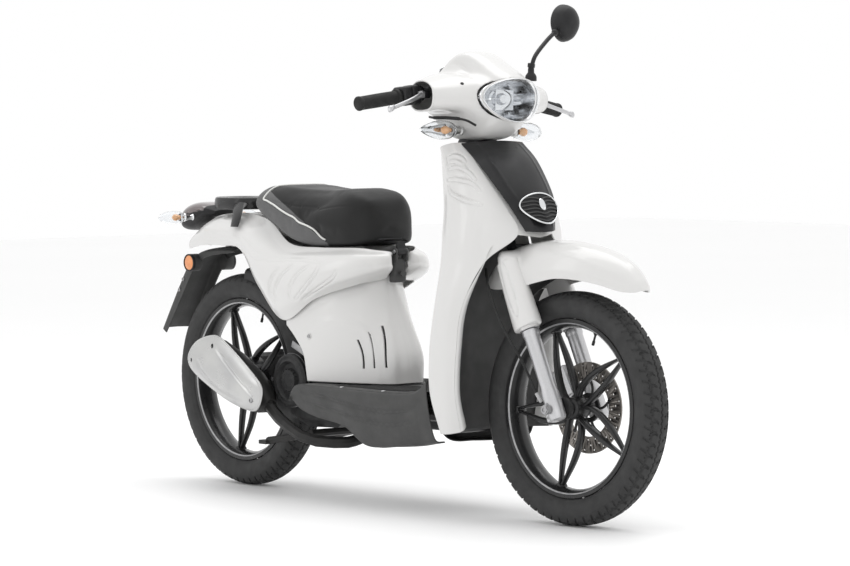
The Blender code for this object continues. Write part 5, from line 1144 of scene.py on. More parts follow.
def liner_and_inner_shield():
    rows = []
    for x0, z, edge_x, edge_y in ((0.346, 0.640, 0.405, 0.105), (0.338, 0.600, 0.398, 0.112),
            (0.328, 0.540, 0.386, 0.128), (0.322, 0.460, 0.380, 0.142), (0.322, 0.360, 0.374, 0.150),
            (0.324, 0.270, 0.368, 0.150), (0.330, 0.205, 0.372, 0.138)):
        rows.append([(x0 + (edge_x - x0) * abs(k / 8 - 1) ** 2.4, edge_y * (k / 8 - 1), z)
            for k in range(17)])
    obj = sheet("wheel_arch_liner_skin", weave(rows, 61, 65), (0.20, 0, 0.42), 0.0025)
    place(obj, "chassis", DARK, "dark_grey_plastic", "wheel_arch_liner")
    net = []
    for x0, z, edge_x, edge_y in ((0.196, 0.860, 0.238, 0.072), (0.212, 0.800, 0.272, 0.095),
            (0.226, 0.730, 0.299, 0.115), (0.240, 0.600, 0.316, 0.140), (0.250, 0.500, 0.310, 0.155),
            (0.252, 0.400, 0.303, 0.165), (0.246, 0.345, 0.304, 0.167)):
        net.append([(edge_x, -edge_y, z), (x0 + 0.012, -edge_y * 0.55, z), (x0, 0, z),
            (x0 + 0.012, edge_y * 0.55, z), (edge_x, edge_y, z)])
    obj = sheet("inner_shield_skin", weave(net, 97, 65), (0.45, 0, 0.6), 0.003)
    bake(obj)
    for s in (-1, 1):
        press(obj, on_skin(obj, [(0.24, s * 0.055, 0.835), (0.25, s * 0.062, 0.70),
            (0.26, s * 0.075, 0.55), (0.26, s * 0.085, 0.41)]), 0.006, 0.002)
    press(obj, on_skin(obj, [(0.22, -0.045, 0.80), (0.22, 0, 0.79), (0.22, 0.045, 0.80)]), 0.005, 0.0018)
    place(obj, "chassis", WHITE, "white_paint", "inner_shield")


# ---------------------------------------------------------------- floor and rear bodywork
def floorboard():
    """The foot deck with its ribs and screws."""
    rows = []
    for x, deck, low in ((-0.232, 0.262, 0.240), (-0.226, 0.280, 0.229), (-0.205, 0.289, 0.221),
            (-0.158, 0.290, 0.211), (-0.052, 0.290, 0.196), (0.026, 0.290, 0.160), (0.122, 0.290, 0.164),
            (0.210, 0.293, 0.172), (0.260, 0.303, 0.180), (0.296, 0.330, 0.186)):
        rows.append([(x, 0.118, low - 0.010 if x > 0 else low), (x, 0.150, low),
            (x, 0.170, (deck + low) / 2), (x, 0.176, deck - 0.014), (x, 0.170, deck - 0.003),
            (x, 0.158, deck), (x, 0.080, deck), (x, 0, deck)])
    obj = sheet("floorboard_skin", weave(rows, 145, 99), (0.05, 0, 0.2), 0.003, mirror=True)
    cut(obj, block("spine_room", (-0.130, -0.034, 0.240), (-0.004, 0.034, 0.330), None, 0.004),
        block("engine_room", (-0.300, -0.116, 0.150), (-0.118, 0.116, 0.330), None, 0.004),
        block("downtube_room", (0.215, -0.028, 0.240), (0.330, 0.028, 0.400), None, 0.004))
    for s in (-1, 1):
        for lift in (0, 0.034):
            press(obj, on_skin(obj, [(-0.190, s * 0.20, 0.236 + lift), (-0.100, s * 0.20, 0.226 + lift),
                (0.000, s * 0.20, 0.214 + lift), (0.110, s * 0.20, 0.204 + lift),
                (0.200, s * 0.20, 0.208 + lift), (0.265, s * 0.20, 0.226 + lift)]), 0.0042, 0.0060)
    place(obj, "chassis", DARK, "dark_grey_plastic", "floorboard")
    pads = []
    for s in (-1, 1):
        for k in range(9):
            y = s * (0.030 + 0.0135 * k)
            front = 0.190 + 0.012 * sin(pi * k / 8)
            rear = 0.030 if k < 2 else 0.010 - 0.018 * (k - 2)
            line = smooth([(rear, y, 0.2900), ((rear + front) / 2, y, 0.2902), (front, y, 0.2915)], 12)
            pads.append(tube(f"rib{s}{k}", [Vector(p) for p in line], 0.0031, 10,
                radii=[0.0008] + [0.0031] * 10 + [0.0008]))
    place(gather("floorboard_ribs", *pads), "chassis", RUBBER, "dark_grey_plastic")
    screws = []
    for s in (-1, 1):
        for x in (-0.040, 0.120):
            screws.append(bolt("deck_screw", (x, s * 0.162, 0.2893), (0, 0, 1), 0.0055, 0.0028, False))
    place(gather("floorboard_screws", *screws), "chassis", STEEL, "steel")


def underseat_panel():
    net = [[(0.018, 0, 0.294), (0.0135, 0.048, 0.294), (-0.060, 0.085, 0.294), (-0.140, 0.113, 0.294),
        (-0.216, 0.132, 0.294)], [(0.018, 0, 0.360), (0.0130, 0.048, 0.360), (-0.062, 0.085, 0.360),
        (-0.142, 0.113, 0.360), (-0.230, 0.133, 0.360)], [(-0.010, 0, 0.430), (-0.014, 0.038, 0.430),
        (-0.070, 0.080, 0.428), (-0.148, 0.113, 0.424), (-0.262, 0.134, 0.400)],
        [(-0.040, 0, 0.500), (-0.043, 0.025, 0.500), (-0.082, 0.074, 0.492), (-0.158, 0.112, 0.476),
        (-0.290, 0.134, 0.424)], [(-0.050, 0, 0.532), (-0.052, 0.022, 0.532), (-0.090, 0.072, 0.520),
        (-0.170, 0.111, 0.494), (-0.296, 0.134, 0.432)], [(-0.052, 0, 0.556), (-0.056, 0.022, 0.556),
        (-0.096, 0.072, 0.548), (-0.176, 0.112, 0.524), (-0.300, 0.130, 0.470)]]
    obj = sheet("underseat_skin", weave(net, 145, 161), (-0.2, 0, 0.4), 0.003, mirror=True)
    slots = []
    for s in (-1, 1):
        for k, (x0, z0, x1, z1) in enumerate(((-0.074, 0.400, -0.055, 0.330),
                (-0.050, 0.419, -0.027, 0.332), (-0.026, 0.434, 0.002, 0.334))):
            a, b = Vector((x0, 0, z0)), Vector((x1, 0, z1))
            y = s * (0.086 - 0.010 * k)
            rings = []
            for t in (0.0, 0.25, 0.5, 0.75, 1.0):
                p = a.lerp(b, t) + Vector((0.006 * sin(pi * t), 0, 0))
                rings.append(p)
            line = smooth(rings, 14)
            rings = [oval(Vector(p) + Vector((0, y, 0)), (0.0030, 0, 0), (0, 0.030, 0), 12, 2)
                for p in line]
            slots.append(loft("slot", rings))
    cut(obj, *slots)
    for s in (-1, 1):
        press(obj, on_skin(obj, [(-0.010, s * 0.060, 0.300), (-0.030, s * 0.075, 0.380),
            (-0.075, s * 0.085, 0.435), (-0.165, s * 0.115, 0.440), (-0.235, s * 0.135, 0.410)]), 0.009,
            -0.0022)
    place(obj, "chassis", WHITE, "white_paint", "underseat_panel")
    screws, cups = [], []
    for s in (-1, 1):
        spot = on_skin(obj, [AHEAD @ Vector((-0.214, s * 0.135, 0.404))])[0]
        spot = AHEAD.inverted() @ spot
        cups.append(turned("cup", [(0, 0.0004), (0.0065, 0.0004), (0.0075, 0.0010), (0.0080, 0.0004),
            (0.0080, -0.001), (0, -0.001)], spot, (0, s, 0), 28))
        screws.append(bolt("screw", spot + Vector((0, s * 0.0003, 0)), (0, s, 0), 0.0048, 0.0022, False))
    place(gather("underseat_screws", *screws), "chassis", STEEL, "steel")
    place(gather("underseat_screw_cups", *cups), "chassis", WHITE, "white_paint")


def side_net():
    return [[(-0.040, 0.020, 0.552), (-0.015, 0.0235, 0.574), (-0.015, 0.024, 0.584),
        (-0.017, 0.0235, 0.594), (-0.020, 0.023, 0.600)], [(-0.040, 0.028, 0.546), (0.004, 0.044, 0.571),
        (0.005, 0.047, 0.587), (0.001, 0.044, 0.602), (-0.008, 0.036, 0.611)],
        [(-0.055, 0.056, 0.540), (-0.016, 0.082, 0.562), (-0.015, 0.089, 0.583), (-0.020, 0.082, 0.604),
        (-0.030, 0.066, 0.614)], [(-0.070, 0.088, 0.534), (-0.066, 0.116, 0.550), (-0.066, 0.124, 0.575),
        (-0.068, 0.116, 0.602), (-0.074, 0.094, 0.617)], [(-0.190, 0.126, 0.496), (-0.190, 0.148, 0.518),
        (-0.190, 0.154, 0.555), (-0.190, 0.142, 0.594), (-0.190, 0.120, 0.612)],
        [(-0.305, 0.136, 0.440), (-0.310, 0.152, 0.480), (-0.310, 0.155, 0.535), (-0.310, 0.142, 0.588),
        (-0.310, 0.121, 0.612)], [(-0.415, 0.130, 0.518), (-0.415, 0.138, 0.545), (-0.415, 0.138, 0.585),
        (-0.415, 0.124, 0.628), (-0.415, 0.098, 0.655)], [(-0.520, 0.108, 0.606), (-0.520, 0.111, 0.622),
        (-0.520, 0.108, 0.642), (-0.520, 0.094, 0.664), (-0.520, 0.062, 0.678)],
        [(-0.620, 0.094, 0.614), (-0.620, 0.096, 0.632), (-0.620, 0.092, 0.655), (-0.620, 0.074, 0.680),
        (-0.620, 0.045, 0.690)], [(-0.720, 0.082, 0.612), (-0.720, 0.084, 0.628), (-0.720, 0.080, 0.648),
        (-0.720, 0.064, 0.668), (-0.720, 0.040, 0.680)], [(-0.808, 0.058, 0.600), (-0.808, 0.060, 0.610),
        (-0.808, 0.056, 0.622), (-0.806, 0.046, 0.634), (-0.804, 0.030, 0.642)]]


LEAVES = (((-0.244, 0.587), (-0.289, 0.553), (-0.317, 0.515), (-0.310, 0.486)),
    ((-0.181, 0.586), (-0.221, 0.559), (-0.253, 0.521), (-0.249, 0.486)), ((-0.150, 0.590),
    (-0.158, 0.561), (-0.202, 0.519), (-0.243, 0.484)), ((-0.306, 0.574), (-0.337, 0.539),
    (-0.340, 0.505), (-0.317, 0.478)), ((-0.085, 0.572), (-0.101, 0.542), (-0.149, 0.506),
    (-0.215, 0.476)))


def side_panels():
    """Both side panels, with the leaf-shaped creases pressed into them."""
    for s, word in ((1, "left"), (-1, "right")):
        net = [[(x, y * s, z) for x, y, z in row] for row in side_net()]
        for row, up, inward in zip(net, (0.001, 0.002, 0.004, 0.006, 0.010, 0.016, 0.020, 0.014, 0.006,
                0.003, 0.001), (0.001, 0.004, 0.006, 0.006, 0.010, 0.014, 0.014, 0.010, 0.006, 0.004,
                0.002)):
            x, y, z = row[-1]
            row.append((x, y - s * inward, z + up))
        obj = sheet("side_skin_" + word, weave(net, 281, 97), (-0.40, 0, 0.58), 0.003)
        bake(obj)
        for line in LEAVES:
            press(obj, on_skin(obj, [(x, s * 0.16, z) for x, z in line]), 0.0042, 0.0062)
        rim_line = [(-0.130, 0.588), (-0.200, 0.600), (-0.290, 0.602), (-0.375, 0.588)]
        press(obj, on_skin(obj, [(x, s * 0.16, z) for x, z in rim_line]), 0.008, 0.0030)
        valley = [(-0.330, 0.610), (-0.420, 0.600), (-0.520, 0.628), (-0.620, 0.644), (-0.720, 0.640)]
        press(obj, on_skin(obj, [(x, s * 0.16, z) for x, z in valley]), 0.013, 0.0034)
        place(obj, "chassis", WHITE, "white_paint", "side_panel_" + word)


def tail_cover():
    rows = []
    for x, half, edge_z, middle in ((-0.500, 0.061, 0.668, 0.668), (-0.560, 0.049, 0.682, 0.684),
            (-0.620, 0.041, 0.690, 0.694), (-0.680, 0.037, 0.686, 0.694), (-0.720, 0.036, 0.680, 0.687),
            (-0.770, 0.033, 0.660, 0.667), (-0.806, 0.028, 0.641, 0.646), (-0.822, 0.024, 0.622, 0.626),
            (-0.826, 0.022, 0.606, 0.608)):
        rows.append([(x, half, edge_z), (x, half * 0.55, edge_z * 0.3 + middle * 0.7), (x, 0, middle)])
    obj = sheet("tail_skin", weave(rows, 81, 21), (-0.65, 0, 0.60), 0.003, mirror=True)
    place(obj, "chassis", WHITE, "white_paint", "tail_cover")


# ---------------------------------------------------------------- seat
SEAT_STATIONS = ((-0.044, 0.655, 0.704, 0.036), (-0.050, 0.646, 0.722, 0.064),
    (-0.066, 0.638, 0.745, 0.088), (-0.100, 0.632, 0.760, 0.105), (-0.160, 0.629, 0.760, 0.112),
    (-0.230, 0.629, 0.757, 0.118), (-0.300, 0.642, 0.760, 0.125), (-0.370, 0.672, 0.765, 0.130),
    (-0.430, 0.700, 0.766, 0.126), (-0.470, 0.718, 0.757, 0.108), (-0.490, 0.728, 0.746, 0.080))
PIPING_LINE = ((-0.412, 0.760), (-0.352, 0.736), (-0.290, 0.706), (-0.220, 0.666), (-0.168, 0.632))


def seat_ring(x, low, top, half):
    tall = top - low
    low -= 0.006
    half_ring = [(0, low), (0.80, low), (0.97, low + 0.10 * tall), (1.0, low + 0.42 * tall),
        (0.93, low + 0.76 * tall), (0.70, top - 0.055 * tall), (0.36, top - 0.005 * tall)]
    ring = [(x, half * u, z) for u, z in half_ring] + [(x, 0, top)]
    return ring + [(x, -half * u, z) for u, z in half_ring[:0:-1]]


def swell(obj, cap):
    """Blow the pad up like a stuffed cover, and keep the swelling within the cap."""
    start = np.empty(len(obj.data.vertices) * 3)
    obj.data.vertices.foreach_get("co", start)
    cloth = obj.modifiers.new("cloth", "CLOTH")
    cloth.settings.use_pressure = True
    cloth.settings.uniform_pressure_force = 4
    cloth.settings.effector_weights.gravity = 0
    cloth.point_cache.frame_start, cloth.point_cache.frame_end = 1, 20
    for step in range(1, 21):
        bpy.context.scene.frame_set(step)
    bake(obj)
    end = np.empty_like(start)
    obj.data.vertices.foreach_get("co", end)
    move = (end - start).reshape(-1, 3)
    length = np.linalg.norm(move, axis=1, keepdims=True)
    start = start.reshape(-1, 3)
    share = np.clip((start[:, 2:] - 0.640) / 0.030, 0.0, 1.0)
    move *= np.minimum(1.0, cap / np.maximum(length, 1e-9)) * share
    obj.data.vertices.foreach_set("co", (start + move).ravel())
    obj.data.update()
    bpy.context.scene.frame_set(1)


def seat():
    rings = []
    middle = Vector((-0.265, 0, 0.690))
    for row in SEAT_STATIONS:
        ring = []
        for p in seat_ring(*row):
            p = Vector(p)
            ring.append(middle + Vector(((p.x - middle.x) * 0.984, (p.y - middle.y) * 0.962,
                (p.z - middle.z) * (0.975 if p.z > middle.z else 0.995))))
        rings.append(ring)
    obj = fine_loft("seat_cover", rings, 60, 72)
    link(obj)
    mod = obj.modifiers.new("remesh", "REMESH")
    mod.mode = "VOXEL"
    mod.voxel_size = 0.005
    bake(obj)
    swell(obj, 0.006)
    mod = obj.modifiers.new("soften", "SMOOTH")
    mod.iterations, mod.factor = 6, 0.5
    mod = obj.modifiers.new("subdivision", "SUBSURF")
    mod.levels = mod.render_levels = 1
    bake(obj)
    # the sewn line between the black front and the grey rear, and the welt round the top
    sides_line = {}
    for s in (-1, 1):
        line = on_skin(obj, [Vector(p) for p in smooth([(x, s * 0.16, z) for x, z in PIPING_LINE], 40)])
        sides_line[s] = line
        press(obj, line, 0.0035, 0.0024, False)
    over = [sides_line[-1][0], (-0.405, -0.085, 0.790), (-0.398, -0.040, 0.80), (-0.396, 0.0, 0.80),
        (-0.398, 0.040, 0.80), (-0.405, 0.085, 0.790), sides_line[1][0]]
    over = on_skin(obj, [Vector(p) for p in smooth(over, 70)])
    press(obj, over, 0.0035, 0.0024, False)
    for s in (-1, 1):
        welt = on_skin(obj, [Vector(p) for p in smooth([(-0.075, s * 0.105, 0.728),
            (-0.140, s * 0.125, 0.737), (-0.240, s * 0.13, 0.736), (-0.340, s * 0.14, 0.743),
            (-0.420, s * 0.14, 0.748)], 40)])
        press(obj, welt, 0.0028, 0.0016)
    mesh = obj.data
    shade(obj, 80)
    line_x = [p[0] for p in PIPING_LINE][::-1]
    line_z = [p[1] for p in PIPING_LINE][::-1]
    rear = []
    for face in mesh.polygons:
        c = face.center
        edge_z = np.interp(-c.x, [-x for x in line_x], line_z) if c.x > line_x[-1] else 0.80
        behind = c.x < line_x[0] and c.z < edge_z if c.x > line_x[-1] else True
        if c.x > -0.400 and c.z > 0.7600:
            behind = False
        rear.append(1 if behind else 0)
    place(obj, "seat", (VINYL, GREY_VINYL), "seat_vinyl", "seat_cushion")
    for face, index in zip(obj.data.polygons, rear):
        face.material_index = index
    welt = [Vector(p) for p in sides_line[-1][::-1]] + [Vector(p) for p in over[1:-1]] \
        + [Vector(p) for p in sides_line[1]]
    welt = [Vector(p) for p in smooth(welt[::3], 160)]
    place(tube("seat_piping", welt, 0.0024, 10), "seat", PIPING, "seat_vinyl")
    skirt = [Vector(p) for p in smooth([(-0.075, -0.060, 0.6385), (-0.130, -0.088, 0.633),
        (-0.230, -0.098, 0.631), (-0.300, -0.103, 0.644), (-0.370, -0.107, 0.673),
        (-0.430, -0.104, 0.700)], 60)]
    lips = []
    for s in (-1, 1):
        lips.append(tube(f"skirt{s}", [(p.x, -s * p.y, p.z + 0.001) for p in skirt], 0.0030, 10))
    place(gather("seat_base_lip", *lips), "seat", BLACK, "black_plastic")


def seat_fittings():
    bracket = [block("plate", (-0.036, -0.0185, 0.538), (-0.012, 0.0185, 0.597), None, 0.004),
        rod("hook", (-0.013, 0, 0.560), (-0.003, 0, 0.560), 0.0050), rod("hook_head", (-0.0035, 0, 0.560),
        (0.0005, 0, 0.560), 0.0085)]
    for s in (-1, 1):
        bracket.append(rod("ear", (-0.012, s * 0.0135, 0.613), (-0.012, s * 0.0190, 0.613), 0.0085))
        low, high = sorted((s * 0.0135, s * 0.0190))
        bracket.append(block("web", (-0.026, low, 0.590), (-0.0045, high, 0.612), None, 0.001))
    place(gather("seat_hinge_bracket", *bracket), "chassis", DARK, "black_plastic", "seat_bracket")
    plates = []
    for s in (-1, 1):
        plates.append(bolt("hinge_bolt", (-0.012, s * 0.0188, 0.613), (0, s, 0), 0.0058, 0.0035))
        plates.append(bolt("bracket_bolt", (-0.024, s * 0.0183, 0.570), (0, s, 0), 0.0048, 0.0030))
    place(gather("seat_bracket_fittings", *plates), "chassis", STEEL, "steel")


# ---------------------------------------------------------------- tail
def grab_rail():
    rings = []
    for z, grow in ((0.7055, -0.010), (0.7052, -0.006), (0.7068, -0.0015), (0.7110, 0.0),
            (0.7200, 0.0008), (0.7290, 0.0), (0.7340, -0.0020), (0.7358, -0.0065), (0.7352, -0.012)):
        rings.append(oval((-0.635, 0, z), (0.085 + grow, 0, 0), (0, 0.070 + grow, 0), 128, 1.35))
    for z, grow in ((0.7352, -0.0245), (0.7320, -0.0330), (0.7200, -0.0360), (0.7110, -0.0340),
            (0.7068, -0.0290), (0.7050, -0.018)):
        rings.append(oval((-0.6325, 0, z), (0.081 + grow, 0, 0), (0, 0.069 + grow, 0), 128, 1.35))
    rings.append(rings[0])
    ring = loft("rail_ring", rings, False)
    bm = bmesh.new()
    bm.from_mesh(ring.data)
    bmesh.ops.remove_doubles(bm, verts=bm.verts, dist=1e-7)
    bmesh.ops.recalc_face_normals(bm, faces=bm.faces)
    bm.to_mesh(ring.data)
    bm.free()
    feet = []
    for s in (-1, 1):
        rows = [oval((-0.580, s * 0.058, 0.720), (0.024, 0, 0), (0, 0.006, -0.005), 32),
            oval((-0.567, s * 0.078, 0.708), (0.020, 0, 0), (0, 0.0065, 0.003), 32),
            oval((-0.555, s * 0.092, 0.690), (0.018, 0, 0), (0, 0.0062, 0.002), 32),
            oval((-0.545, s * 0.108, 0.664), (0.015, 0, 0), (0, 0.0048, 0), 32)]
        feet.append(fine_loft(f"foot{s}", rows, 22, 32))
    place(gather("grab_rail_ring", shade(ring), *feet), "chassis", WHEEL, "black_plastic", "grab_rail")


def tail_light():
    """The tail lens and both rear indicators on their stalks."""
    rings = []
    for x, low, top, half in ((-0.735, 0.6870, 0.700, 0.030), (-0.755, 0.6800, 0.712, 0.050),
            (-0.790, 0.6640, 0.720, 0.060), (-0.825, 0.6480, 0.716, 0.060),
            (-0.850, 0.6460, 0.702, 0.054), (-0.862, 0.6500, 0.688, 0.040)):
        rings.append(oval((x, 0, (low + top) / 2), (0, half, 0), (0, 0, (top - low) / 2), 20, 1.5))
    fine = np.array([ring_smooth(r, 96) for r in rings])
    along = np.stack([smooth(fine[:, c], 48) for c in range(96)], axis=1)
    body = loft("tail_light_body", along)
    press(body, [Vector(p) for p in smooth([(-0.760, -0.055, 0.700), (-0.800, -0.061, 0.694),
        (-0.840, -0.058, 0.684), (-0.861, -0.030, 0.676), (-0.864, 0.0, 0.674), (-0.861, 0.030, 0.676),
        (-0.840, 0.058, 0.684), (-0.800, 0.061, 0.694), (-0.760, 0.055, 0.700)], 40)], 0.003, 0.0022,
        False)
    place(body, "chassis", (BLACK, SMOKED), "black_plastic", "tail_light")
    for face in body.data.polygons:
        c = AHEAD.inverted() @ face.center
        split = np.interp(-c.x, [0.760, 0.800, 0.840, 0.862], [0.700, 0.694, 0.684, 0.675])
        face.material_index = 1 if c.z > split and c.x < -0.756 else 0
    for s, word in ((1, "left"), (-1, "right")):
        rings = []
        for y, radius, x in ((0.0870, 0.0100, -0.797), (0.0925, 0.0165, -0.7975), (0.100, 0.0195, -0.799),
                (0.112, 0.0208, -0.801), (0.124, 0.0203, -0.803), (0.138, 0.0165, -0.803),
                (0.150, 0.0105, -0.803), (0.1575, 0.0035, -0.802)):
            rings.append(oval((x, s * y, 0.682), (radius * 1.1, 0, 0), (0, 0, radius * 0.8), 40))
        skin = fine_loft("skin", rings, 24, 40)
        hollow = [oval((x, s * y, 0.682), (radius * 1.1, 0, 0), (0, 0, radius * 0.8), 40) for y, radius,
            x in ((0.0935, 0.0130, -0.7975), (0.101, 0.0176, -0.799), (0.112, 0.0190, -0.801),
            (0.124, 0.0184, -0.803), (0.138, 0.0145, -0.803), (0.149, 0.0085, -0.803))]
        cut(skin, fine_loft("hollow", hollow, 20, 40))
        place(skin, "chassis", FLUTED, "clear_lens", "rear_indicator_" + word)
        stalk = turned("stalk", [(0, 0.028), (0.0092, 0.028), (0.0112, 0.0245), (0.0078, 0.016),
            (0.0062, 0.010), (0.0062, 0.003), (0.0085, 0.0), (0, 0)], (-0.792, s * 0.060, 0.682),
            (-0.10, s * 1.0, 0), 32)
        place(gather(f"rear_indicator_stalk_{word}", stalk), "chassis", CHROME, "chrome")
        bulb = turned("bulb", [(0, 0.022), (0.0045, 0.0215), (0.0078, 0.018), (0.0088, 0.0130),
            (0.0070, 0.0060), (0.0055, 0.0), (0, 0)], (-0.7975, s * 0.0955, 0.682), (-0.05, s * 1.0, 0),
            28)
        place(gather(f"rear_indicator_bulb_{word}", bulb), "chassis", AMBER, "clear_lens")


def rear_mudguard():
    rows = []
    for x, z, half, deep in ((-0.640, 0.606, 0.040, 0.012), (-0.720, 0.604, 0.044, 0.018),
            (-0.790, 0.590, 0.046, 0.026), (-0.838, 0.556, 0.047, 0.030), (-0.880, 0.500, 0.047, 0.030),
            (-0.916, 0.445, 0.048, 0.028), (-0.950, 0.390, 0.050, 0.024)):
        lean = max(0.0, min(1.0, (-0.72 - x) / 0.12))
        back = Vector((-0.86 * lean, 0, 1 - 0.49 * lean))
        top = Vector((x, 0, z))
        rows.append([top - back * deep + Vector((0, half, 0)), top - back * 0.006
            + Vector((0, half * 0.96, 0)), top + Vector((0, half * 0.7, 0)), top + back * 0.002])
    obj = sheet("mudguard_shell", weave(rows, 121, 41), (-0.62, 0, 0.30), 0.003, mirror=True)
    bake(obj)
    press(obj, on_skin(obj, [(-0.730, 0, 0.63), (-0.80, 0, 0.60), (-0.86, 0, 0.55), (-0.95, 0, 0.41)]),
        0.010, -0.0016)
    bosses, lenses, rims, screws = [], [], [], []
    for s in (-1, 1):
        bosses.append(rod(f"boss{s}", (-0.800, s * 0.038, 0.564), (-0.800, s * 0.0655, 0.564), 0.0225,
            steps=56, round_off=0.0015))
        lens = turned("lens", [(0, 0.0042), (0.010, 0.0039), (0.0165, 0.0028), (0.0190, 0.0012),
            (0.0192, 0), (0, 0)], (-0.800, s * 0.0655, 0.564), (0, s, 0), 64)
        lenses.append(lens)
        rims.append(turned("rim", [(0.0194, 0.0030), (0.0212, 0.0034), (0.0226, 0.0022), (0.0226, -0.004),
            (0.0194, -0.004)], (-0.800, s * 0.0655, 0.564), (0, s, 0), 64, True))
        for x, z in ((-0.856, 0.520), (-0.872, 0.492)):
            spot = on_skin(obj, [Vector((x, s * 0.06, z))])[0]
            screws.append(bolt("screw", spot, (0, s, 0), 0.0052, 0.003))
    place(gather("rear_mudguard_shell", obj, *bosses), "chassis", DARK, "dark_grey_plastic",
        "rear_mudguard")
    place(gather("rear_reflectors", *lenses), "chassis", ORANGE, "clear_lens")
    place(gather("rear_reflector_rims", *rims), "chassis", BLACK, "black_plastic")
    place(gather("rear_mudguard_screws", *screws), "chassis", STEEL, "steel")


# ---------------------------------------------------------------- engine side
def heat_shield():
    """The domed plate over the silencer, with its creases, hole and screw."""
    middle = Vector((-0.535, 0, 0.296))
    along = Vector((-0.895, 0, 0.446))
    up = Vector((0.446, 0, 0.895))

    def at(u, v, y):
        return middle + along * u + up * v + Vector((0, y, 0))

    edge_points = ((0.071, 0.072), (0.032, 0.086), (-0.045, 0.082), (-0.135, 0.070), (-0.166, 0.062),
        (-0.180, 0.044), (-0.182, 0.010), (-0.164, -0.014), (-0.100, -0.034), (-0.024, -0.046),
        (0.078, -0.050), (0.123, -0.041), (0.136, -0.015), (0.118, 0.030))

    def outline(size, y):
        ring = ring_smooth([(u + 0.020, v - 0.012, 0) for u, v in edge_points], 140)
        return [at(u * size - 0.020, v * size + 0.012, y) for u, v, _ in ring]

    shape = ((0.02, -0.1768), (0.30, -0.1765), (0.60, -0.1745), (0.82, -0.1705), (0.96, -0.1656),
        (0.992, -0.1652), (1.004, -0.1664), (1.0, -0.1684), (0.985, -0.1694), (0.972, -0.1690),
        (0.955, -0.1700), (0.93, -0.1718), (0.82, -0.1756), (0.66, -0.1784), (0.45, -0.1797),
        (0.22, -0.1800), (0.02, -0.1801))
    plate = fine_loft("heat_plate", [outline(s, y) for s, y in shape], 150, 180)
    press(plate, on_skin(plate, [at(0.032, 0.061, -0.19), at(-0.060, 0.043, -0.19),
        at(-0.160, 0.025, -0.19)]), 0.0045, 0.0048)
    press(plate, on_skin(plate, [at(0.091, -0.005, -0.19), at(0.041, -0.027, -0.19),
        at(-0.026, -0.029, -0.19), at(-0.146, -0.006, -0.19)]), 0.0050, 0.0032)
    slots = [rod("hole", at(0.112, -0.022, -0.19), at(0.112, -0.022, -0.15), 0.0055),
        rod("hole", at(0.045, 0.056, -0.19), at(0.045, 0.056, -0.15), 0.0062)]
    cut(plate, *slots)
    place(plate, "engine", HEAT, "silver_paint", "heat_shield")
    screws = [bolt("screw", at(-0.154, 0.012, -0.1730), (0, -1, 0), 0.0068, 0.0050, False),
        rod("spacer", at(-0.154, 0.012, -0.1740), at(-0.154, 0.012, -0.1600), 0.0085),
        rod("spacer", at(0.112, -0.022, -0.1650), at(0.112, -0.022, -0.1580), 0.0085)]
    place(gather("heat_shield_screws", *screws), "engine", STEEL, "steel")


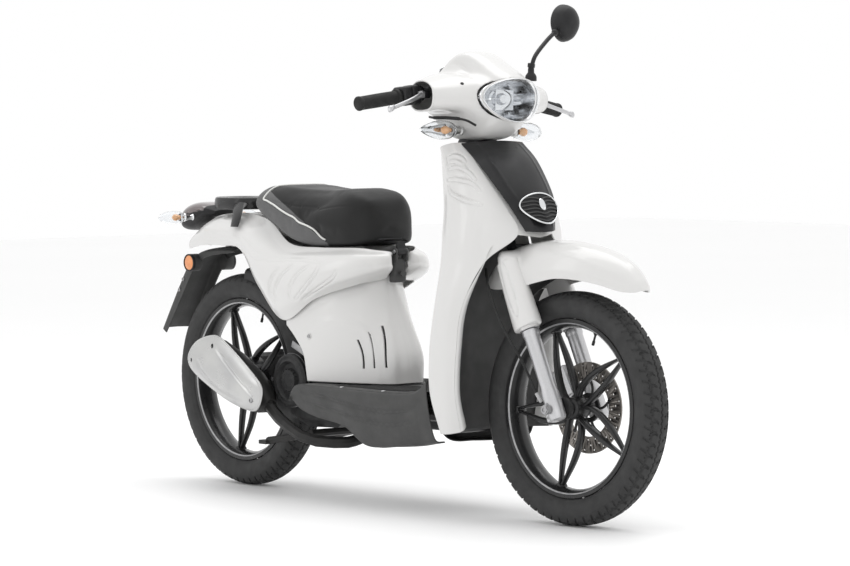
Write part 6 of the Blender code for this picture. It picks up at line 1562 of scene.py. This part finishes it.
def engine_details():
    """Bright and dark odds and ends on the kept engine case: cover ring, fins, bolts, hoses and leads."""
    fan = Vector((-0.317, -0.080, 0.289))
    ring = [turned("fan_ring", [(0.052, 0.0330), (0.060, 0.0345), (0.0655, 0.0300), (0.0665, 0.022),
        (0.0620, 0.022), (0.0600, 0.029), (0.0540, 0.0300)], fan, (0, -1, 0), 72, True)]
    for k in range(16):
        a = 2 * pi * k / 16
        out = Vector((cos(a), 0, sin(a)))
        vane = block("vane", (0.014, -0.0012, 0.0), (0.029, 0.0012, 0.008), Matrix(), 0.0005)
        vane.data.transform(Matrix.Translation(fan + Vector((0, -0.0285, 0)))
            @ Matrix.Rotation(-a, 4, "Y") @ Matrix.Rotation(radians(90), 4, "X"))
        ring.append(vane)
    place(gather("engine_fan_ring", *ring), "engine", CAST, "engine_cast")
    bright = turned("bright", [(0.0655, 0.0226), (0.0672, 0.0226), (0.0672, 0.0206), (0.0655, 0.0206)],
        fan, (0, -1, 0), 72, True)
    place(gather("engine_fan_edge", bright), "engine", RAW, "engine_cast")
    fins = []
    for k in range(7):
        z = 0.358 + 0.0068 * k
        fins.append(block(f"fin{k}", (-0.292, -0.063, z), (-0.178, 0.063, z + 0.0022), None, 0.0009))
    place(gather("engine_cylinder_fins", *fins), "engine", CAST, "engine_cast")
    screws = []
    for x, z in ((-0.452, 0.228), (-0.436, 0.284), (-0.384, 0.336), (-0.258, 0.296), (-0.260, 0.222),
            (-0.330, 0.198), (-0.414, 0.198)):
        screws.append(bolt("screw", (x, -0.0728, z), (0, -1, 0), 0.0052, 0.0042))
    for x, z in ((-0.690, 0.247), (-0.684, 0.300), (-0.600, 0.330), (-0.520, 0.326), (-0.440, 0.322),
            (-0.360, 0.336), (-0.290, 0.336), (-0.255, 0.300), (-0.255, 0.232), (-0.330, 0.202),
            (-0.420, 0.220), (-0.520, 0.216), (-0.610, 0.216)):
        screws.append(bolt("screw", (x, 0.1355, z), (0, 1, 0), 0.0050, 0.0042))
    for s in (-1, 1):
        screws.append(bolt("nut", (-0.085, s * 0.0442, 0.235), (0, s, 0), 0.0095, 0.0065))
    screws.append(bolt("axle_nut", (-HALF_BASE, -0.0440, WHEEL_R), (0, -1, 0), 0.0105, 0.006))
    place(gather("engine_screws", *screws), "engine", STEEL, "steel")
    raised = loft("belt_cover", [oval((-0.475, y, 0.271), (0.185 * s, 0, 0), (0, 0, 0.046 * s), 96, 1.9)
        for y, s in ((0.1350, 1.0), (0.1385, 1.0), (0.1400, 0.985), (0.1404, 0.95), (0.1404, 0.5),
        (0.1404, 0.1))])
    place(gather("engine_belt_cover", raised), "engine", CAST, "engine_cast")
    carb = [rod("carb_body", (-0.335, -0.012, 0.385), (-0.335, 0.030, 0.385), 0.018),
        rod("carb_bowl", (-0.335, 0.010, 0.348), (-0.335, 0.010, 0.372), 0.014),
        rod("carb_top", (-0.335, 0.010, 0.395), (-0.335, 0.010, 0.420), 0.011),
        rod("inlet", (-0.335, -0.010, 0.385), (-0.300, -0.006, 0.380), 0.012)]
    place(gather("engine_carburettor", *carb), "engine", RAW, "engine_cast")
    airbox = fine_loft("airbox", [oval((x, 0.085, 0.392), (0, 0.034 * s, 0), (0, 0, 0.030 * s), 20, 1.7)
        for x, s in ((-0.352, 0.70), (-0.362, 0.93), (-0.400, 1.0), (-0.455, 1.0), (-0.482, 0.92),
        (-0.492, 0.66))], 30, 56)
    place(gather("engine_airbox", airbox), "engine", BLACK, "engine_cast")
    hoses = [tube("hose_a", smooth([(-0.352, 0.082, 0.392), (-0.345, 0.066, 0.392),
        (-0.337, 0.048, 0.388), (-0.335, 0.030, 0.385)], 20), 0.0125, 20), tube("hose_b",
        smooth([(-0.205, -0.050, 0.330), (-0.215, -0.068, 0.362), (-0.245, -0.075, 0.382),
        (-0.285, -0.062, 0.388), (-0.325, -0.030, 0.392)], 40), 0.0042, 12),
        tube("lead", smooth([(-0.168, 0.0, 0.352), (-0.158, -0.022, 0.370), (-0.180, -0.050, 0.380),
        (-0.235, -0.066, 0.364), (-0.270, -0.078, 0.350)], 40), 0.0036, 12)]
    place(gather("engine_hoses", *hoses), "engine", CABLE, "engine_cast")
    plate = []
    outline = [(-0.318, 0.372), (-0.246, 0.344), (-0.240, 0.352), (-0.244, 0.360), (-0.312, 0.388)]
    rings = [[Vector((x, y, z)) for x, z in outline] for y in (-0.1045, -0.1015)]
    plate.append(edge(loft("bracket", rings), 0.0012))
    place(gather("engine_bright_bracket", *plate), "engine", RAW, "engine_cast")
    hugger = []
    for k in range(31):
        a = radians(52 + 30 * k / 30)
        out = Vector((cos(a), 0, sin(a)))
        hugger.append(smooth([REAR_AXLE + out * 0.262 + Vector((0, -0.0460, 0)),
            REAR_AXLE + out * 0.282 + Vector((0, -0.0440, 0)), REAR_AXLE + out * 0.290
            + Vector((0, -0.0300, 0)), REAR_AXLE + out * 0.292 + Vector((0, 0.0, 0)),
            REAR_AXLE + out * 0.290 + Vector((0, 0.0300, 0)), REAR_AXLE + out * 0.282
            + Vector((0, 0.0440, 0))], 31))
    guard = sheet("hugger", hugger, REAR_AXLE, 0.0022)
    stay = tube("stay", smooth([(-0.500, 0.040, 0.515), (-0.470, 0.062, 0.460), (-0.440, 0.085, 0.400),
        (-0.430, 0.095, 0.345)], 24), 0.0045, 12)
    place(gather("engine_hugger", guard, stay), "engine", BLACK, "engine_cast")


def spring():
    top, foot = Vector((-0.530, 0.082, 0.588)), Vector((-0.600, 0.082, 0.358))
    line = (foot - top).normalized()
    long = (foot - top).length
    start, end = 0.012 + 0.0430, long - 0.0494 + 0.012 - 0.002
    turns, count = 8, 8 * 28
    across = line.orthogonal().normalized()
    other = line.cross(across)
    pts = []
    for k in range(count + 1):
        t = k / count
        a = 2 * pi * turns * t
        pts.append(top + line * (start + (end - start) * t) + (across * cos(a) + other * sin(a)) * 0.0172)
    place(tube("shock_coil", pts, 0.0031, 12), "shock", STEEL, "steel", "shock_spring")


# ---------------------------------------------------------------- CAD nodes that stay, with finer edges
KEPT = {"steering_stem": (BLACK, 0.0012), "handlebar": (STEEL, 0), "starter_button": (BLACK, 0.0006),
    "horn_button": (BLACK, 0.0006), "front_axle": (STEEL, 0.0005), "brake_caliper": (SILVER, 0.0022),
    "frame": (FRAME, 0.0010), "fuel_tank": (BLACK, 0.0020), "storage_bay": (BLACK, 0.0012),
    "seat_base": (BLACK, 0.0008), "engine_case": (CAST, 0.0022), "exhaust": (FRAME, 0.0010),
    "kick_starter": (STEEL, 0.0008), "centre_stand": (FRAME, 0.0010), "shock_body": (FRAME, 0.0006),
    "shock_rod": (STEEL, 0.0006)}


def keep_nodes():
    for name, (shader, width) in KEPT.items():
        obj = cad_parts[name]
        if isinstance(obj, str):
            obj = bpy.data.objects[obj]
        obj.data.materials.clear()
        obj.data.materials.append(shader.mat)
        weld = obj.modifiers.new("weld", "WELD")
        weld.merge_threshold = 0.00005
        if width:
            edge(obj, width, 3, 32)
        obj.data.shade_smooth()
        mod = obj.modifiers.new("normals", "WEIGHTED_NORMAL")
        mod.keep_sharp = False
        mod.weight = 80


# ---------------------------------------------------------------- camera, light and floor
CAMERA_LENS = 158.06
CAMERA_DISTANCE = 8.99
CAMERA_AIM = (0.081, 0, 0.540)


def camera():
    """A long lens from the front right, just above the scooter's middle."""
    around, above, roll = radians(50.8), radians(2.95), radians(-0.43)
    back = Vector((sin(around) * cos(above), -cos(around) * cos(above), sin(above)))
    right = Vector((cos(around), sin(around), 0))
    up = back.cross(right)
    right, up = right * cos(roll) + up * sin(roll), up * cos(roll) - right * sin(roll)
    data = bpy.data.cameras.new("camera")
    data.sensor_width = 36
    data.lens = CAMERA_LENS
    data.clip_end = 100
    obj = bpy.data.objects.new("camera", data)
    link(obj)
    target = AHEAD @ Vector(CAMERA_AIM)
    turn = Matrix((right, up, back)).transposed().to_4x4()
    obj.matrix_world = Matrix.Translation(target + back * CAMERA_DISTANCE) @ turn
    bpy.context.scene.camera = obj


def light(name, spot, target, size, power, color=(1, 1, 1)):
    data = bpy.data.lights.new(name, "AREA")
    data.shape = "RECTANGLE"
    data.size, data.size_y = size
    data.energy = power
    data.color = color
    obj = bpy.data.objects.new(name, data)
    link(obj)
    spot, target = Vector(spot), Vector(target)
    obj.matrix_world = Matrix.Translation(spot) @ (spot - target).to_track_quat("Z",
        "Y").to_matrix().to_4x4()


def studio():
    """Plain white surroundings, three soft lights and a pale floor."""
    world = bpy.data.worlds.new("studio")
    world.use_nodes = True
    world.node_tree.nodes["Background"].inputs["Color"].default_value = (1, 1, 1, 1)
    world.node_tree.nodes["Background"].inputs["Strength"].default_value = 1.0
    bpy.context.scene.world = world
    bpy.context.scene.view_settings.view_transform = "Standard"
    light("overhead", (0.2, 0.6, 4.2), (0.63, 0, 0.4), (4.0, 3.0), 70)
    light("front_fill", (6.0, -3.5, 2.0), (0.63, 0, 0.5), (3.0, 2.5), 12)
    light("side_strip", (-2.0, -5.0, 2.6), (0.4, 0, 0.5), (1.2, 3.0), 14)
    grid = [[(x, y, 0) for x in np.linspace(-14, 14, 15)] for y in np.linspace(-14, 14, 15)]
    floor = mesh_object("studio_floor", [p for row in grid for p in row], grid_faces(15, 15), 30)
    link(floor)
    floor.data.materials.append(FLOOR.mat)


camera()
studio()

tyre("front_tyre_skin", FRONT_AXLE, "front_wheel", "front_tyre")
rim("front_wheel_casting", FRONT_AXLE, "front_wheel", "front_rim", (0.026, 0.0360))
brake_disc()
front_fender()
inner_mudguard()
fork_sliders()
grips()
levers()
mirror()
headset()
lamp_and_lights()
cables()
front_shield()
front_panel()
grille()
liner_and_inner_shield()
floorboard()
underseat_panel()
side_panels()
tail_cover()
seat()
seat_fittings()
grab_rail()
tail_light()
rear_mudguard()
tyre("rear_tyre_skin", REAR_AXLE, "rear_wheel", "rear_tyre")
rim("rear_wheel_casting", REAR_AXLE, "rear_wheel", "rear_rim", (0.058, 0.0340))
heat_shield()
engine_details()
spring()
keep_nodes()
